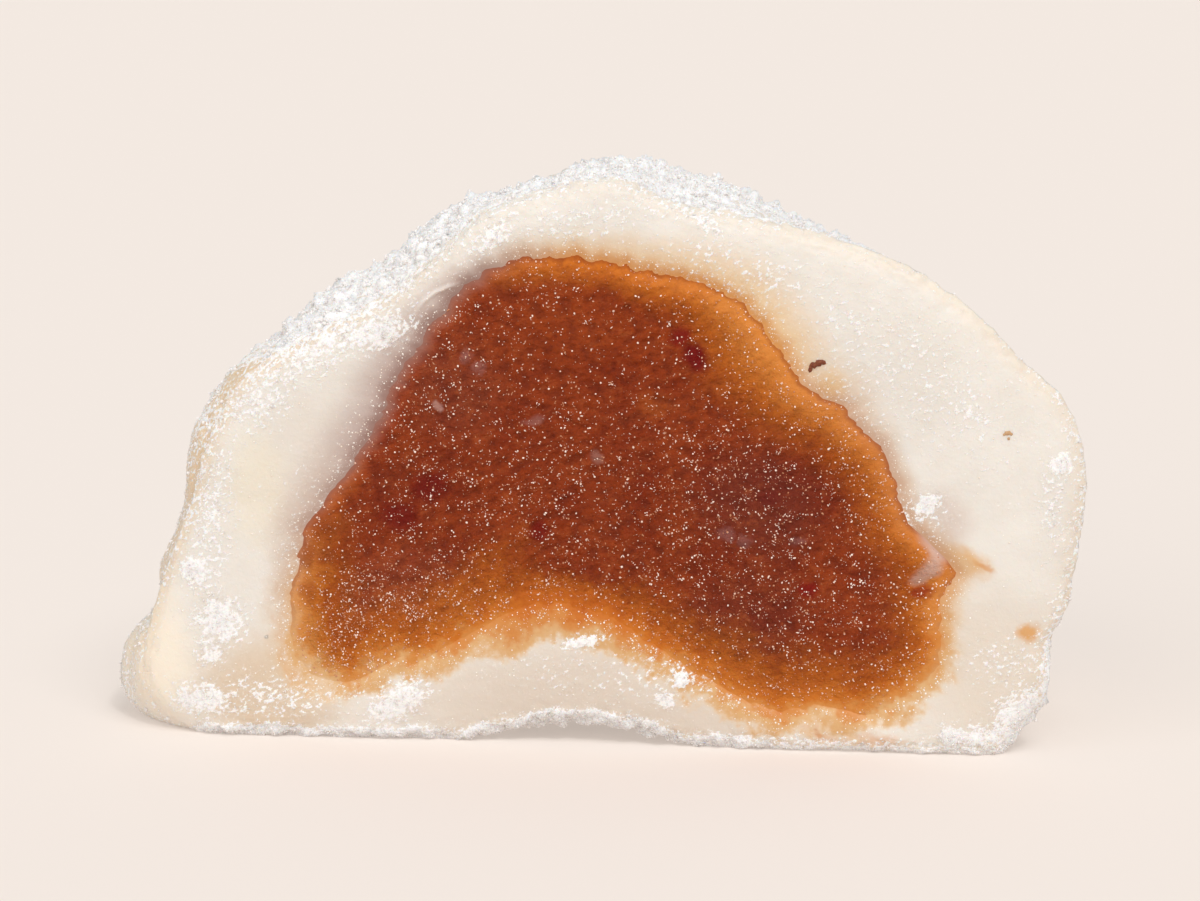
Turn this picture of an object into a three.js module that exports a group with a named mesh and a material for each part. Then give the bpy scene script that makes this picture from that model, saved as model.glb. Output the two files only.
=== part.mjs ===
// Half of a round rice cake filled with sweet bean paste, as the knife left it: the cut faces the front,
// the cake stands on the flat side it was shaped on, and the dough closes round the filling at the back.
// Millimetres, +Z up. X runs along the cut, the cut looks towards -Y, and the dough swells towards +Y.

import * as THREE from "three";
import { ParametricGeometry } from "three/addons/geometries/ParametricGeometry.js";

// Driving sizes
const CAKE_DEPTH = 26; // from the cut to the back of the dough
const PASTE_DEPTH = 18.5; // from the cut to the back of the filling
const FIT_GAP = 0.3; // clear space between the dough and the filling
const RIM_ROUNDING = 0.6; // how far the dough's rim turns back from the cut
const FACE_PUFF = 0.35; // how far the soft dough swells out of the cut
const PASTE_CROWN = 0.3; // how far the middle of the filling stands out of the cut
const PASTE_SINK = 0.25; // how far the filling's edge lies behind the cut
const RIM_SHARE = 0.07; // the part of the dough's width over which its rim turns back
const EDGE_SINKS_LATE = 4; // the higher, the closer to the filling's edge the surface sinks

// The cut, seen from the front, is measured along spokes that leave one point, the heart, every 15 degrees.
// The first spoke points to the right, and they go round anticlockwise.
const HEART = { x: 0.7, z: 18.1 };
const SKIN_REACH = [
  26.8, 23.2, 20.1, 17.0, 15.0, 14.1, 15.1, 14.9, 15.0, 14.6, 15.6, 19.2,
  23.3, 26.8, 31.6, 27.6, 22.2, 19.6, 18.7, 19.6, 22.0, 28.0, 28.9, 27.5,
];
const PASTE_REACH = [
  15.2, 11.8, 11.0, 11.0, 10.5, 10.1, 10.2, 10.9, 12.0, 12.2, 12.3, 12.9,
  14.0, 17.4, 21.7, 21.0, 11.9, 10.2, 10.5, 13.1, 18.0, 22.1, 21.8, 17.6,
];

// Uneven places, each as [spoke angle in degrees, spread in degrees, millimetres outwards]
const PASTE_EARS = [
  [340, 3.5, 2.0], // the corner that the filling pushes into the dough on the right
  [325, 4, 0.5],
  [308, 4, -0.8],
  [227, 2.5, -1.9], // where the dough climbs into the filling beside the left foot
  [217, 4, 0.7], // the left foot of the filling
  [198, 4, 0.6],
  [10, 3, 0.6],
];
const SKIN_EARS = [
  [336, 3.5, -0.8], // the notch low on the right
  [172, 5, 0.6],
  [189, 6, -0.5],
  [6.5, 4, 0.5],
];
const SKIN_EARS_DEPTH = 7; // how far back those of the dough fade
const PINCHED_IN_AT_THE_CUT = [
  [209, 15, 2.4], // the left foot
  [181, 16, 1.5], // the left flank
  [152, 14, 1.1], // the left shoulder
  [128, 12, 0.6],
  [20, 34, -1.3], // the right shoulder, which falls away behind the cut
  [300, 30, -0.4],
];
const PINCH_DEPTH = 5; // how far behind the cut the dough is widest again

// Folds that stand up from the outside, as the dough was gathered by hand
const FOLDS = [
  { angle: 70, depth: 5.5, across: 4.4, along: 3.6, height: 1.5 },
  { angle: 95, depth: 4.5, across: 4.0, along: 3.0, height: 0.5 },
  { angle: 136, depth: 4.8, across: 2.8, along: 3.0, height: 1.1 },
  { angle: 155, depth: 4.6, across: 2.6, along: 3.2, height: 0.9 },
  { angle: 104, depth: 15, across: 7, along: 3.0, height: 0.8 },
  { angle: 45, depth: 13, across: 3.5, along: 6, height: 0.7 },
  { angle: 172, depth: 14, across: 4, along: 5, height: 0.7 },
  { angle: 8, depth: 15, across: 4, along: 5, height: 0.6 },
];

// The underside lies flat, but for a low arch under the cut
const ARCH = { x: -1.3, halfWidth: 8, height: 1.3, depth: 9 };

// How the two bodies close towards the back: the point they close on, and how squarely they turn in,
// where 2 is an ellipse and more is squarer
const SKIN_BACK = { x: 0.3, z: 12.5, square: 2.2, squareUnder: 5 };
const PASTE_BACK = { x: 0.8, z: 14.5, square: 2.3, squareUnder: 2.8 };
const UNDERSIDE_EASE = 2; // how late, going down the sides, the squarer underside begins

// How finely the surfaces are divided
const SPOKES = 90;
const SKIN_RINGS = 20;
const FACE_RINGS = 4;
const CAVITY_RINGS = 11;
const PASTE_FACE_RINGS = 6;
const PASTE_WALL_RINGS = 11;
const RIM_CROWDING = 1.6; // more than 1 draws the rings of the cut towards the outer rim

const FULL_TURN = 360;
const QUARTER = Math.PI / 2;

// A smooth closed line through the ends of the spokes
function edgeCurve(reaches) {
  const ends = reaches.map((reach, i) => {
    const angle = (i / reaches.length) * 2 * Math.PI;
    return new THREE.Vector3(Math.cos(angle) * reach, 0, Math.sin(angle) * reach);
  });
  return new THREE.CatmullRomCurve3(ends, true, "catmullrom", 0.5);
}

const skinEdge = edgeCurve(SKIN_REACH);
const pasteEdge = edgeCurve(PASTE_REACH);

function turnBetween(a, b) {
  const turn = (((a - b) % FULL_TURN) + FULL_TURN) % FULL_TURN;
  return Math.min(turn, FULL_TURN - turn);
}

function swell(places, angle) {
  return places.reduce(
    (sum, [at, spread, out]) => sum + out * Math.exp(-((turnBetween(angle, at) / spread) ** 2)),
    0,
  );
}

// How much of its width a body keeps at a share of its depth. It turns from the squareness above to the
// squareness below over the whole half turn, so that no edge shows between the two.
function widthKept(back, share, angle) {
  const below = (1 - Math.sin((angle * Math.PI) / 180)) / 2;
  const square = THREE.MathUtils.lerp(back.square, back.squareUnder, below ** UNDERSIDE_EASE);
  return Math.max(0, 1 - share ** square) ** (1 / square);
}

function floorUnder(x, depth) {
  const fromPeak = Math.hypot((x - ARCH.x) / ARCH.halfWidth, depth / ARCH.depth);
  return ARCH.height * Math.max(0, 1 - fromPeak ** 2) ** 2;
}

function foldHeight(angle, reach, depth) {
  return FOLDS.reduce((sum, fold) => {
    const across = ((turnBetween(angle, fold.angle) * Math.PI) / 180) * reach;
    const along = depth - fold.depth;
    return sum + fold.height * Math.exp(-((across / fold.across) ** 2) - (along / fold.along) ** 2);
  }, 0);
}

// The outside of the dough: u goes round the cut, and turn from 0 at the rim to 1 at the back
function skinPoint(u, turn, target) {
  const angle = u * FULL_TURN;
  const share = Math.sin(turn * QUARTER);
  const depth = CAKE_DEPTH * share;
  const kept = widthKept(SKIN_BACK, share, angle);
  const edge = skinEdge.getPoint(u % 1);
  const reach = edge.length();
  const pinch = (depth / PINCH_DEPTH) * Math.exp(1 - depth / PINCH_DEPTH);
  const ears = swell(SKIN_EARS, angle) * Math.exp(-((depth / SKIN_EARS_DEPTH) ** 2));
  const out = ears + swell(PINCHED_IN_AT_THE_CUT, angle) * pinch + foldHeight(angle, reach * kept, depth);
  const scale = kept * (1 + out / reach);
  const x = THREE.MathUtils.lerp(HEART.x, SKIN_BACK.x, share ** 2) + edge.x * scale;
  const z = THREE.MathUtils.lerp(HEART.z, SKIN_BACK.z, share ** 2) + edge.z * scale;
  const rim = RIM_ROUNDING * (1 - share);
  return target.set(x, depth + rim, Math.max(z, floorUnder(x, depth)));
}

// The wall of the filling, or of the hollow it lies in when it is grown by the gap
function pastePoint(u, turn, grow, target) {
  const angle = u * FULL_TURN;
  const share = Math.sin(turn * QUARTER);
  const kept = widthKept(PASTE_BACK, share, angle);
  const edge = pasteEdge.getPoint(u % 1);
  const reach = edge.length();
  const scale = (kept * (reach + swell(PASTE_EARS, angle) + grow)) / reach;
  const x = THREE.MathUtils.lerp(HEART.x, PASTE_BACK.x, share ** 2) + edge.x * scale;
  const z = THREE.MathUtils.lerp(HEART.z, PASTE_BACK.z, share ** 2) + edge.z * scale;
  return target.set(x, PASTE_SINK + (PASTE_DEPTH + grow - PASTE_SINK) * share, z);
}

// The cut through the dough: across runs from 0 at the outer rim to 1 at the filling
const outerRim = new THREE.Vector3();
function cutPoint(u, across, target) {
  skinPoint(u, 0, outerRim);
  pastePoint(u, 0, FIT_GAP, target);
  target.lerp(outerRim, 1 - across);
  const turnedBack = RIM_ROUNDING * Math.exp(-across / RIM_SHARE);
  const puffedOut = FACE_PUFF * Math.sin(Math.PI * across);
  target.y = turnedBack - puffedOut + PASTE_SINK * across ** EDGE_SINKS_LATE;
  return target;
}

// One closed surface: from the back pole over the outside, across the cut, and into the hollow
function riceDoughSurface() {
  const stacks = SKIN_RINGS + FACE_RINGS + CAVITY_RINGS;
  return new ParametricGeometry(
    (u, v, target) => {
      const ring = v * stacks;
      if (ring <= SKIN_RINGS) return skinPoint(u, 1 - ring / SKIN_RINGS, target);
      const face = (ring - SKIN_RINGS) / FACE_RINGS;
      if (face <= 1) return cutPoint(u, face ** RIM_CROWDING, target);
      return pastePoint(u, (face - 1) * (FACE_RINGS / CAVITY_RINGS), FIT_GAP, target);
    },
    SPOKES,
    stacks,
  );
}

// One closed surface: from the back pole along the wall, and across the cut to the heart
function beanPasteSurface() {
  const stacks = PASTE_WALL_RINGS + PASTE_FACE_RINGS;
  return new ParametricGeometry(
    (u, v, target) => {
      const ring = v * stacks;
      if (ring < PASTE_WALL_RINGS) return pastePoint(u, 1 - ring / PASTE_WALL_RINGS, 0, target);
      const out = 1 - (ring - PASTE_WALL_RINGS) / PASTE_FACE_RINGS;
      pastePoint(u, 0, 0, target);
      target.x = THREE.MathUtils.lerp(HEART.x, target.x, out);
      target.z = THREE.MathUtils.lerp(HEART.z, target.z, out);
      target.y = PASTE_SINK * out ** EDGE_SINKS_LATE - PASTE_CROWN * (1 - out ** 2);
      return target;
    },
    SPOKES,
    stacks,
  );
}

function riceDough() {
  const material = new THREE.MeshStandardMaterial({ color: 0xece0cf, roughness: 0.55, metalness: 0 });
  const mesh = new THREE.Mesh(riceDoughSurface(), material);
  mesh.name = "rice_dough";
  return mesh;
}

function beanPaste() {
  const material = new THREE.MeshStandardMaterial({ color: 0x8b4128, roughness: 0.4, metalness: 0 });
  const mesh = new THREE.Mesh(beanPasteSurface(), material);
  mesh.name = "bean_paste";
  return mesh;
}

const halfCake = new THREE.Group();
halfCake.add(riceDough(), beanPaste());

// The origin lies on the table, under the middle of the cake
const box = new THREE.Box3().setFromObject(halfCake);
const middle = box.getCenter(new THREE.Vector3());
halfCake.position.set(-middle.x, -middle.y, -box.min.z);

export default halfCake;
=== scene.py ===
# %% [markdown]
# # Half of a filled rice cake
# Steamed rice dough was closed round a core of sweet bean paste, dusted with starch and cut through the
# middle. The knife left two soft bodies that stick together: a warm white one that light sinks into, and a
# reddish brown one that glistens. The looks live in three layers: the large form, the relief that the knife
# and the hands left, and the loose starch and moisture on top. Each layer gets its own step below.

# %% Load the frame
import math

import bmesh
import bpy
import numpy as np
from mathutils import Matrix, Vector, kdtree, noise


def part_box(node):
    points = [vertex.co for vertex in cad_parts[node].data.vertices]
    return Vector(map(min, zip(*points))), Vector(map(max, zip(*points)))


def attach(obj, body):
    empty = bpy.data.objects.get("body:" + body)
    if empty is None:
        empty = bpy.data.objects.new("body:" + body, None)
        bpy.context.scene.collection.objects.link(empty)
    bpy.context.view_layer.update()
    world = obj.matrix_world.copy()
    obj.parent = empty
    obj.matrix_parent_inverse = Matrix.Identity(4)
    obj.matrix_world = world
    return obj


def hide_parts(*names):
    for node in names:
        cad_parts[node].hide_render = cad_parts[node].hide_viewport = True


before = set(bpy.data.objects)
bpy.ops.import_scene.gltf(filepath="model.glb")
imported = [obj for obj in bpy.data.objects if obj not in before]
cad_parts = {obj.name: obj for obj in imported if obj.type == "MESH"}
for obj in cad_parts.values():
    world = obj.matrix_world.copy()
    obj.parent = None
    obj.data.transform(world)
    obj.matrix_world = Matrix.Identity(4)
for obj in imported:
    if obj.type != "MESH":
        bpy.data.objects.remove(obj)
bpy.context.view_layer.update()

# %% [markdown]
# ## The camera
# The picture was taken with a long lens, a little above the table and a little to the right, so the cut's
# right end hangs lower in the frame. All places on the cut are given in cake millimetres: x runs along the
# cut, y from the cut into the cake, and z up from the table.

# %% Camera
SENSOR = 36.0
LENS = 150.0
DISTANCE = 0.287
AZIMUTH = math.radians(6)
ELEVATION = math.radians(12)
AIM_HEIGHT = 0.01750

MM = 1000  # millimetres in a metre, the unit of the frame
paste_low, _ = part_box("bean_paste")
dough_low, dough_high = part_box("rice_dough")


def aim_camera(target):
    """Places the camera on a circle round the target and turns it to look there."""
    out = Vector(
        (
            math.sin(AZIMUTH) * math.cos(ELEVATION),
            -math.cos(AZIMUTH) * math.cos(ELEVATION),
            math.sin(ELEVATION),
        )
    )
    data = bpy.data.cameras.new("camera")
    data.lens = LENS
    data.sensor_width = SENSOR
    data.clip_start = 0.01
    data.clip_end = 20
    camera = bpy.data.objects.new("camera", data)
    camera.location = target + out * DISTANCE
    camera.rotation_euler = (-out).to_track_quat("-Z", "Y").to_euler()
    bpy.context.scene.collection.objects.link(camera)
    bpy.context.scene.camera = camera


# %% [markdown]
# ## The form
# The cut is described along spokes that leave one point, the heart, every 15 degrees, starting to the right
# and going round anticlockwise. A smooth closed line runs through the spokes' ends. These are the same
# driving sizes as the solids', so the finer surfaces made here lie where the solids lie, but for the dents
# and the heaps of starch that later steps add.

# %% Driving sizes, in millimetres
CAKE_DEPTH = 26.0
PASTE_DEPTH = 18.5
RIM_ROUNDING = 0.6
RIM_SHARE = 0.07
FACE_PUFF = 0.35
PASTE_CROWN = 0.3
HEART = (0.7, 18.1)
SKIN_REACH = [
    26.8, 23.2, 20.1, 17.0, 15.0, 14.1, 15.1, 14.9, 15.0, 14.6, 15.6, 19.2,
    23.3, 26.8, 31.6, 27.6, 22.2, 19.6, 18.7, 19.6, 22.0, 28.0, 28.9, 27.5,
]  # fmt: skip
PASTE_REACH = [
    15.2, 11.8, 11.0, 11.0, 10.5, 10.1, 10.2, 10.9, 12.0, 12.2, 12.3, 12.9,
    14.0, 17.4, 21.7, 21.0, 11.9, 10.2, 10.5, 13.1, 18.0, 22.1, 21.8, 17.6,
]  # fmt: skip

# Uneven places: spoke angle in degrees, spread in degrees, millimetres outwards
PASTE_EARS = [
    (340, 3.5, 2.0), (325, 4, 0.5), (308, 4, -0.8), (227, 2.5, -1.9), (217, 4, 0.7), (198, 4, 0.6),
    (10, 3, 0.6),
]  # fmt: skip
SKIN_EARS = [(336, 3.5, -0.8), (172, 5, 0.6), (189, 6, -0.5), (6.5, 4, 0.5)]
SKIN_EARS_DEPTH = 7.0
PINCHED_IN_AT_THE_CUT = [
    (209, 15, 2.4), (181, 16, 1.5), (152, 14, 1.1), (128, 12, 0.6), (20, 34, -1.3), (300, 30, -0.4),
]  # fmt: skip
PINCH_DEPTH = 5.0

# Folds of the outside: spoke angle, depth behind the cut, width across, length along, height
FOLDS = [
    (70, 5.5, 4.4, 3.6, 1.5),
    (95, 4.5, 4.0, 3.0, 0.5),
    (136, 4.8, 2.8, 3.0, 1.1),
    (155, 4.6, 2.6, 3.2, 0.9),
    (104, 15, 7.0, 3.0, 0.8),
    (45, 13, 3.5, 6.0, 0.7),
    (172, 14, 4.0, 5.0, 0.7),
    (8, 15, 4.0, 5.0, 0.6),
]
ARCH = {"x": -1.3, "half_width": 8.0, "height": 1.3, "depth": 9.0}
SKIN_BACK = {"x": 0.3, "z": 12.5, "square": 2.2, "square_under": 5.0}
PASTE_BACK = {"x": 0.8, "z": 14.5, "square": 2.3, "square_under": 2.8}
UNDERSIDE_EASE = 2.0


# %% Lines round the heart
def smooth_round(values, turns):
    """The smooth closed line through evenly spaced values, read at turns from 0 to 1."""
    values = np.asarray(values, float)
    place = (turns % 1.0) * len(values)
    first = np.floor(place).astype(int)
    t = (place - first)[..., None]
    before, start, end, after = (values[(first + step) % len(values)] for step in (-1, 0, 1, 2))
    bend = 2 * before - 5 * start + 4 * end - after
    twist = 3 * (start - end) + after - before
    return 0.5 * (2 * start + (end - before) * t + bend * t**2 + twist * t**3)


def spoke_ends(reaches, turns):
    """Offsets (x, z) from the heart to the smooth line through the ends of the spokes."""
    angles = np.arange(len(reaches)) / len(reaches) * 2 * math.pi
    ends = np.stack([np.cos(angles), np.sin(angles)], axis=1) * np.asarray(reaches)[:, None]
    return smooth_round(ends, turns)


def turn_between(angle, at):
    """The smaller turn between two directions, in degrees."""
    return np.abs((angle - at + 180) % 360 - 180)


def swell(places, angle):
    """Sum of soft bumps, each at its own angle round the heart."""
    total = np.zeros_like(angle)
    for at, spread, out in places:
        total += out * np.exp(-((turn_between(angle, at) / spread) ** 2))
    return total


def width_kept(back, share, angle):
    """How much of its width a body keeps at a share of its depth: squarer underneath than on top."""
    below = (1 - np.sin(np.radians(angle))) / 2
    square = back["square"] + (back["square_under"] - back["square"]) * below**UNDERSIDE_EASE
    return np.maximum(0, 1 - share**square) ** (1 / square)


# %% Surfaces of the two bodies
def round_moving_middle(back, share, edge, scale):
    """A ring drawn round a point that moves from the heart to the middle of the back."""
    x = HEART[0] + (back["x"] - HEART[0]) * share**2 + edge[..., 0] * scale
    z = HEART[1] + (back["z"] - HEART[1]) * share**2 + edge[..., 1] * scale
    return x, z


def floor_under(x, depth):
    """Height of the low arch under the cut."""
    from_peak = np.hypot((x - ARCH["x"]) / ARCH["half_width"], depth / ARCH["depth"])
    return ARCH["height"] * np.maximum(0, 1 - from_peak**2) ** 2


def fold_height(angle, reach, depth):
    """Height of the hand-made folds of the outside."""
    total = np.zeros_like(angle)
    for at, fold_depth, across, along, height in FOLDS:
        gap = np.radians(turn_between(angle, at)) * reach
        total += height * np.exp(-((gap / across) ** 2) - ((depth - fold_depth) / along) ** 2)
    return total


def dough_outside(turns, closing):
    """Points of the outside; closing runs from 0 at the rim of the cut to 1 at the back."""
    angle = turns * 360
    share = np.sin(closing * math.pi / 2)
    depth = CAKE_DEPTH * share
    kept = width_kept(SKIN_BACK, share, angle)
    edge = spoke_ends(SKIN_REACH, turns)
    reach = np.hypot(edge[..., 0], edge[..., 1])
    out = swell(SKIN_EARS, angle) * np.exp(-((depth / SKIN_EARS_DEPTH) ** 2))
    pinch = swell(PINCHED_IN_AT_THE_CUT, angle)
    out = out + pinch * (depth / PINCH_DEPTH) * np.exp(1 - depth / PINCH_DEPTH)
    out = out + fold_height(angle, reach * kept, depth)
    x, z = round_moving_middle(SKIN_BACK, share, edge, kept * (1 + out / reach))
    y = depth + RIM_ROUNDING * (1 - share)
    return np.stack([x, y, np.maximum(z, floor_under(x, depth))], axis=-1)


JOIN_WOBBLE = 0.27
JOIN_WOBBLE_SIZE = 1.0
JOIN_WOBBLE_SLICE = 3.7  # where the line cuts through the noise
JOIN_WOBBLE_COARSENESS = 0.7
JOIN_WOBBLE_OCTAVES = 4
FINER_EACH_TIME = 2.0  # each octave of noise is this much finer than the one before


def join_wobble(edge):
    """Small uneven steps of the join line, as the knife left them."""
    places = [(x, JOIN_WOBBLE_SLICE, z) for x, z in np.asarray(edge) / JOIN_WOBBLE_SIZE]
    settings = (JOIN_WOBBLE_COARSENESS, FINER_EACH_TIME, JOIN_WOBBLE_OCTAVES)
    return np.array([noise.fractal(place, *settings) for place in places])


def paste_outside(turns, closing, grow=0.0):
    """Points of the filling's wall, or of the hollow round it when it is grown."""
    angle = turns * 360
    share = np.sin(closing * math.pi / 2)
    kept = width_kept(PASTE_BACK, share, angle)
    edge = spoke_ends(PASTE_REACH, turns)
    reach = np.hypot(edge[..., 0], edge[..., 1])
    uneven = swell(PASTE_EARS, angle) + JOIN_WOBBLE * join_wobble(edge)
    x, z = round_moving_middle(PASTE_BACK, share, edge, kept * (reach + uneven + grow) / reach)
    y = (PASTE_DEPTH + grow) * share + 0 * angle
    return np.stack([x, y, z], axis=-1)


# %% [markdown]
# The solids stand in the shared frame in metres. One shift takes cake millimetres there. It is measured
# from the solids' own box, so nothing is fitted by eye.

# %% From cake millimetres to the frame
SPOKES = 560
probe_turns, probe_closing = np.meshgrid(np.arange(SPOKES) / SPOKES, np.linspace(0, 1, 200))
probe = dough_outside(probe_turns, probe_closing).reshape(-1, 3)
SHIFT = np.array(
    [
        (dough_low.x + dough_high.x) / 2 * MM - (probe[:, 0].min() + probe[:, 0].max()) / 2,
        paste_low.y * MM + PASTE_CROWN,
        dough_low.z * MM,
    ]
)
print("cake millimetres to frame millimetres:", SHIFT.round(3))


def in_frame(points):
    """Frame metres for points in cake millimetres."""
    return (np.asarray(points, float) + SHIFT) / MM


aim_camera(Vector((*in_frame((0, 0, 0))[:2], AIM_HEIGHT)))

# %% [markdown]
# ## Where the filling ends
# Most of what the eye reads at the cut depends on one number: the distance to the line where filling and
# dough meet, negative inside the filling. Round that line its character changes. On the left the filling
# shines through thin dough as a violet grey shade. At the top and upper right it has soaked into the dough
# as an orange halo behind a thin dark line. Along the bottom it has no line at all and fades away.
# Short tables of (angle, value) hold this, and both bodies read them, so the colours run across the join.

# %% Character of the border, by angle round the heart
# amber is the width of the band in the filling, halo that of the shade in the dough, violet and faded are
# shares of that character, and spread is how far the faded border reaches into the dough
BORDER = {
    "amber": [
        (0, 4.2), (15, 4.8), (30, 5.6), (45, 5.0), (60, 3.0), (90, 1.8), (120, 1.8), (150, 0.9), (180, 0.8),
        (195, 1.4), (210, 4.4), (225, 5.0), (240, 2.6), (262, 1.9), (285, 3.0), (305, 4.2), (330, 3.4),
        (345, 3.4),
    ],
    "halo": [
        (0, 1.5), (15, 3.0), (30, 4.0), (50, 4.0), (75, 3.0), (105, 2.0), (125, 1.6), (150, 3.0), (180, 3.6),
        (200, 2.1), (225, 1.5), (270, 1.5), (320, 1.5), (345, 1.8),
    ],
    "violet": [
        (0, 0.5), (12, 0.4), (24, 0.1), (32, 0.0), (105, 0.1), (130, 0.9), (180, 1.0), (200, 0.6), (222, 0.0),
        (262, 0.1), (300, 0.0), (330, 0.1), (336, 0.2), (345, 0.45),
    ],
    "faded": [
        (0, 0.0), (30, 0.1), (60, 0.05), (140, 0.0), (196, 0.0), (204, 0.35), (213, 0.8), (221, 1.0),
        (322, 1.0), (333, 0.5), (343, 0.1),
    ],
    "spread": [
        (205, 0.0), (218, -0.1), (228, 0.6), (237, 0.9), (245, 1.9), (257, 1.8), (272, 1.5), (285, 1.0),
        (305, 0.8), (318, 0.5), (330, 0.4),
    ],
}  # fmt: skip


def round_the_heart(table, angle):
    """Reads a short table of (angle, value) all the way round."""
    at, value = zip(*table)
    return np.interp(angle, at, value, period=360)


def border_at(angle):
    """Every character of the border at each angle."""
    return {name: round_the_heart(table, angle) for name, table in BORDER.items()}


def angle_at(x, z):
    """Angle round the heart, in degrees."""
    return np.degrees(np.arctan2(z - HEART[1], x - HEART[0])) % 360


LINE_STEPS = 2000


def line_tree(line):
    """A search tree over the points of a line on the cut."""
    tree = kdtree.KDTree(len(line))
    for index, point in enumerate(line):
        tree.insert((point[0], 0, point[2]), index)
    tree.balance()
    return tree


line_turns = np.arange(LINE_STEPS) / LINE_STEPS
join_tree = line_tree(paste_outside(line_turns, 0 * line_turns))
rim_tree = line_tree(dough_outside(line_turns, 0 * line_turns))


def distance_to(tree, points):
    """Distance along the cut from each point to a line that a tree holds."""
    return np.array([tree.find((x, 0, z))[2] for x, _, z in points])


# %% Soft random relief
SEEDS_APART = np.array([17.3, 9.1, 5.7])  # how far apart two seeds are taken from the same noise


def clouds(points, size, seed, octaves=2, stretch=(1, 1, 1)):
    """Random heights from about -1 to 1, with bumps about size millimetres across."""
    places = np.asarray(points) / (size * np.asarray(stretch)) + SEEDS_APART * seed
    return np.array([noise.fractal(place, 1.0, FINER_EACH_TIME, octaves) for place in places])


def ease(low, high, value):
    """Smooth step from 0 at low to 1 at high."""
    t = np.clip((value - low) / (high - low), 0, 1)
    return t * t * (3 - 2 * t)


# %% [markdown]
# ## Rings into a closed mesh
# Both bodies are rings from a pole at the back to a pole at the front. The first and the last ring are one
# point each, so the mesh closes there without a seam. Numbers that a material needs later, such as the
# distance to the join, are stored on the points as attributes.

# %% Closed mesh from rings
def ring_points(rings):
    """The rings as a flat list, with the two poles once each."""
    flat = rings[1:-1].reshape(-1, *rings.shape[2:])
    return np.concatenate([rings[:1, 0], flat, rings[-1:, 0]])


def closed_mesh(name, points, spokes, ring_count):
    """A closed surface with its faces outwards, in frame metres."""
    grid = np.arange((ring_count - 2) * spokes).reshape(ring_count - 2, spokes) + 1
    last = len(points) - 1
    after = np.roll(grid, -1, axis=1)
    quads = np.stack([grid[:-1], grid[1:], after[1:], after[:-1]], axis=-1).reshape(-1, 4)
    first_fan = np.stack([np.zeros(spokes, int), grid[0], after[0]], axis=-1)
    last_fan = np.stack([grid[-1], np.full(spokes, last), after[-1]], axis=-1)
    a, b, c, d = (points[quads[:, corner]] for corner in range(4))
    volume = (np.cross(a, b) * c).sum() + (np.cross(a, c) * d).sum()
    faces = [face for part in (quads, first_fan, last_fan) for face in part.tolist()]
    if volume < 0:
        faces = [face[::-1] for face in faces]
    mesh = bpy.data.meshes.new(name)
    mesh.from_pydata(in_frame(points).tolist(), [], faces)
    mesh.polygons.foreach_set("use_smooth", np.ones(len(mesh.polygons), bool))
    mesh.validate()
    return mesh


def normals_of(mesh):
    """Unit normals of a mesh's points."""
    normals = np.zeros(len(mesh.vertices) * 3, np.float32)
    mesh.vertex_normals.foreach_get("vector", normals)
    return normals.reshape(-1, 3)


def place_points(mesh, points):
    """Moves a mesh's points to new places in cake millimetres."""
    mesh.vertices.foreach_set("co", in_frame(points).astype(np.float32).ravel())
    mesh.update()


def sharpen_ring(mesh, first, count):
    """Marks one ring's edges as sharp, so that the shading doesn't round the corner there."""
    ends = np.zeros(len(mesh.edges) * 2, np.int32)
    mesh.edges.foreach_get("vertices", ends)
    inside = ((ends >= first) & (ends < first + count)).reshape(-1, 2).all(axis=1)
    mark = mesh.attributes.new("sharp_edge", "BOOLEAN", "EDGE")
    mark.data.foreach_set("value", inside)


def store(mesh, **fields):
    """Stores one number a point under each name."""
    for name, values in fields.items():
        attribute = mesh.attributes.new(name, "FLOAT", "POINT")
        attribute.data.foreach_set("value", np.asarray(values, np.float32))


def new_piece(name, mesh, material):
    """An object in the frame that rides with the cake."""
    piece = bpy.data.objects.new(name, mesh)
    bpy.context.scene.collection.objects.link(piece)
    mesh.materials.clear()
    mesh.materials.append(material)
    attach(piece, "root")
    triangles = sum(len(face.vertices) - 2 for face in mesh.polygons)
    print(f"{name}: {len(mesh.vertices)} points, {triangles} triangles")
    return piece


# %% [markdown]
# ## Starch on the dough
# Loose starch keeps the cake from sticking. It lies thickest where the dough was gathered, on the top and the
# left shoulder, and as a crust along the underside. The knife dragged some of it over the cut, where it lies
# in patches. The amount is a number from 0 to 1 on each point. Later it drives the colour and the scatter.

# %% Amount of starch
# By angle round the heart: on the outside, and on the cut beside its rim
STARCH_OUTSIDE = [
    (0, 0.4), (30, 0.5), (55, 0.6), (66, 1.0), (100, 0.8), (118, 0.75), (130, 1.05), (160, 1.05), (170, 0.48),
    (190, 0.38), (200, 0.36), (222, 0.4), (240, 0.9), (320, 0.9), (335, 0.5),
]  # fmt: skip
RIM_DUST = [
    (0, 0.5), (14, 0.3), (24, 0.25), (45, 0.25), (60, 0.45), (68, 0.5), (100, 0.45), (125, 0.5), (150, 0.65),
    (172, 0.6), (190, 0.55), (203, 0.35), (215, 0.2), (225, 0.6), (320, 0.8), (340, 0.6),
]  # fmt: skip
RIM_DUST_WIDTH = 1.0
TABLE_DEPTH = 7.0  # how far behind the cut the tables by angle fade
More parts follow.
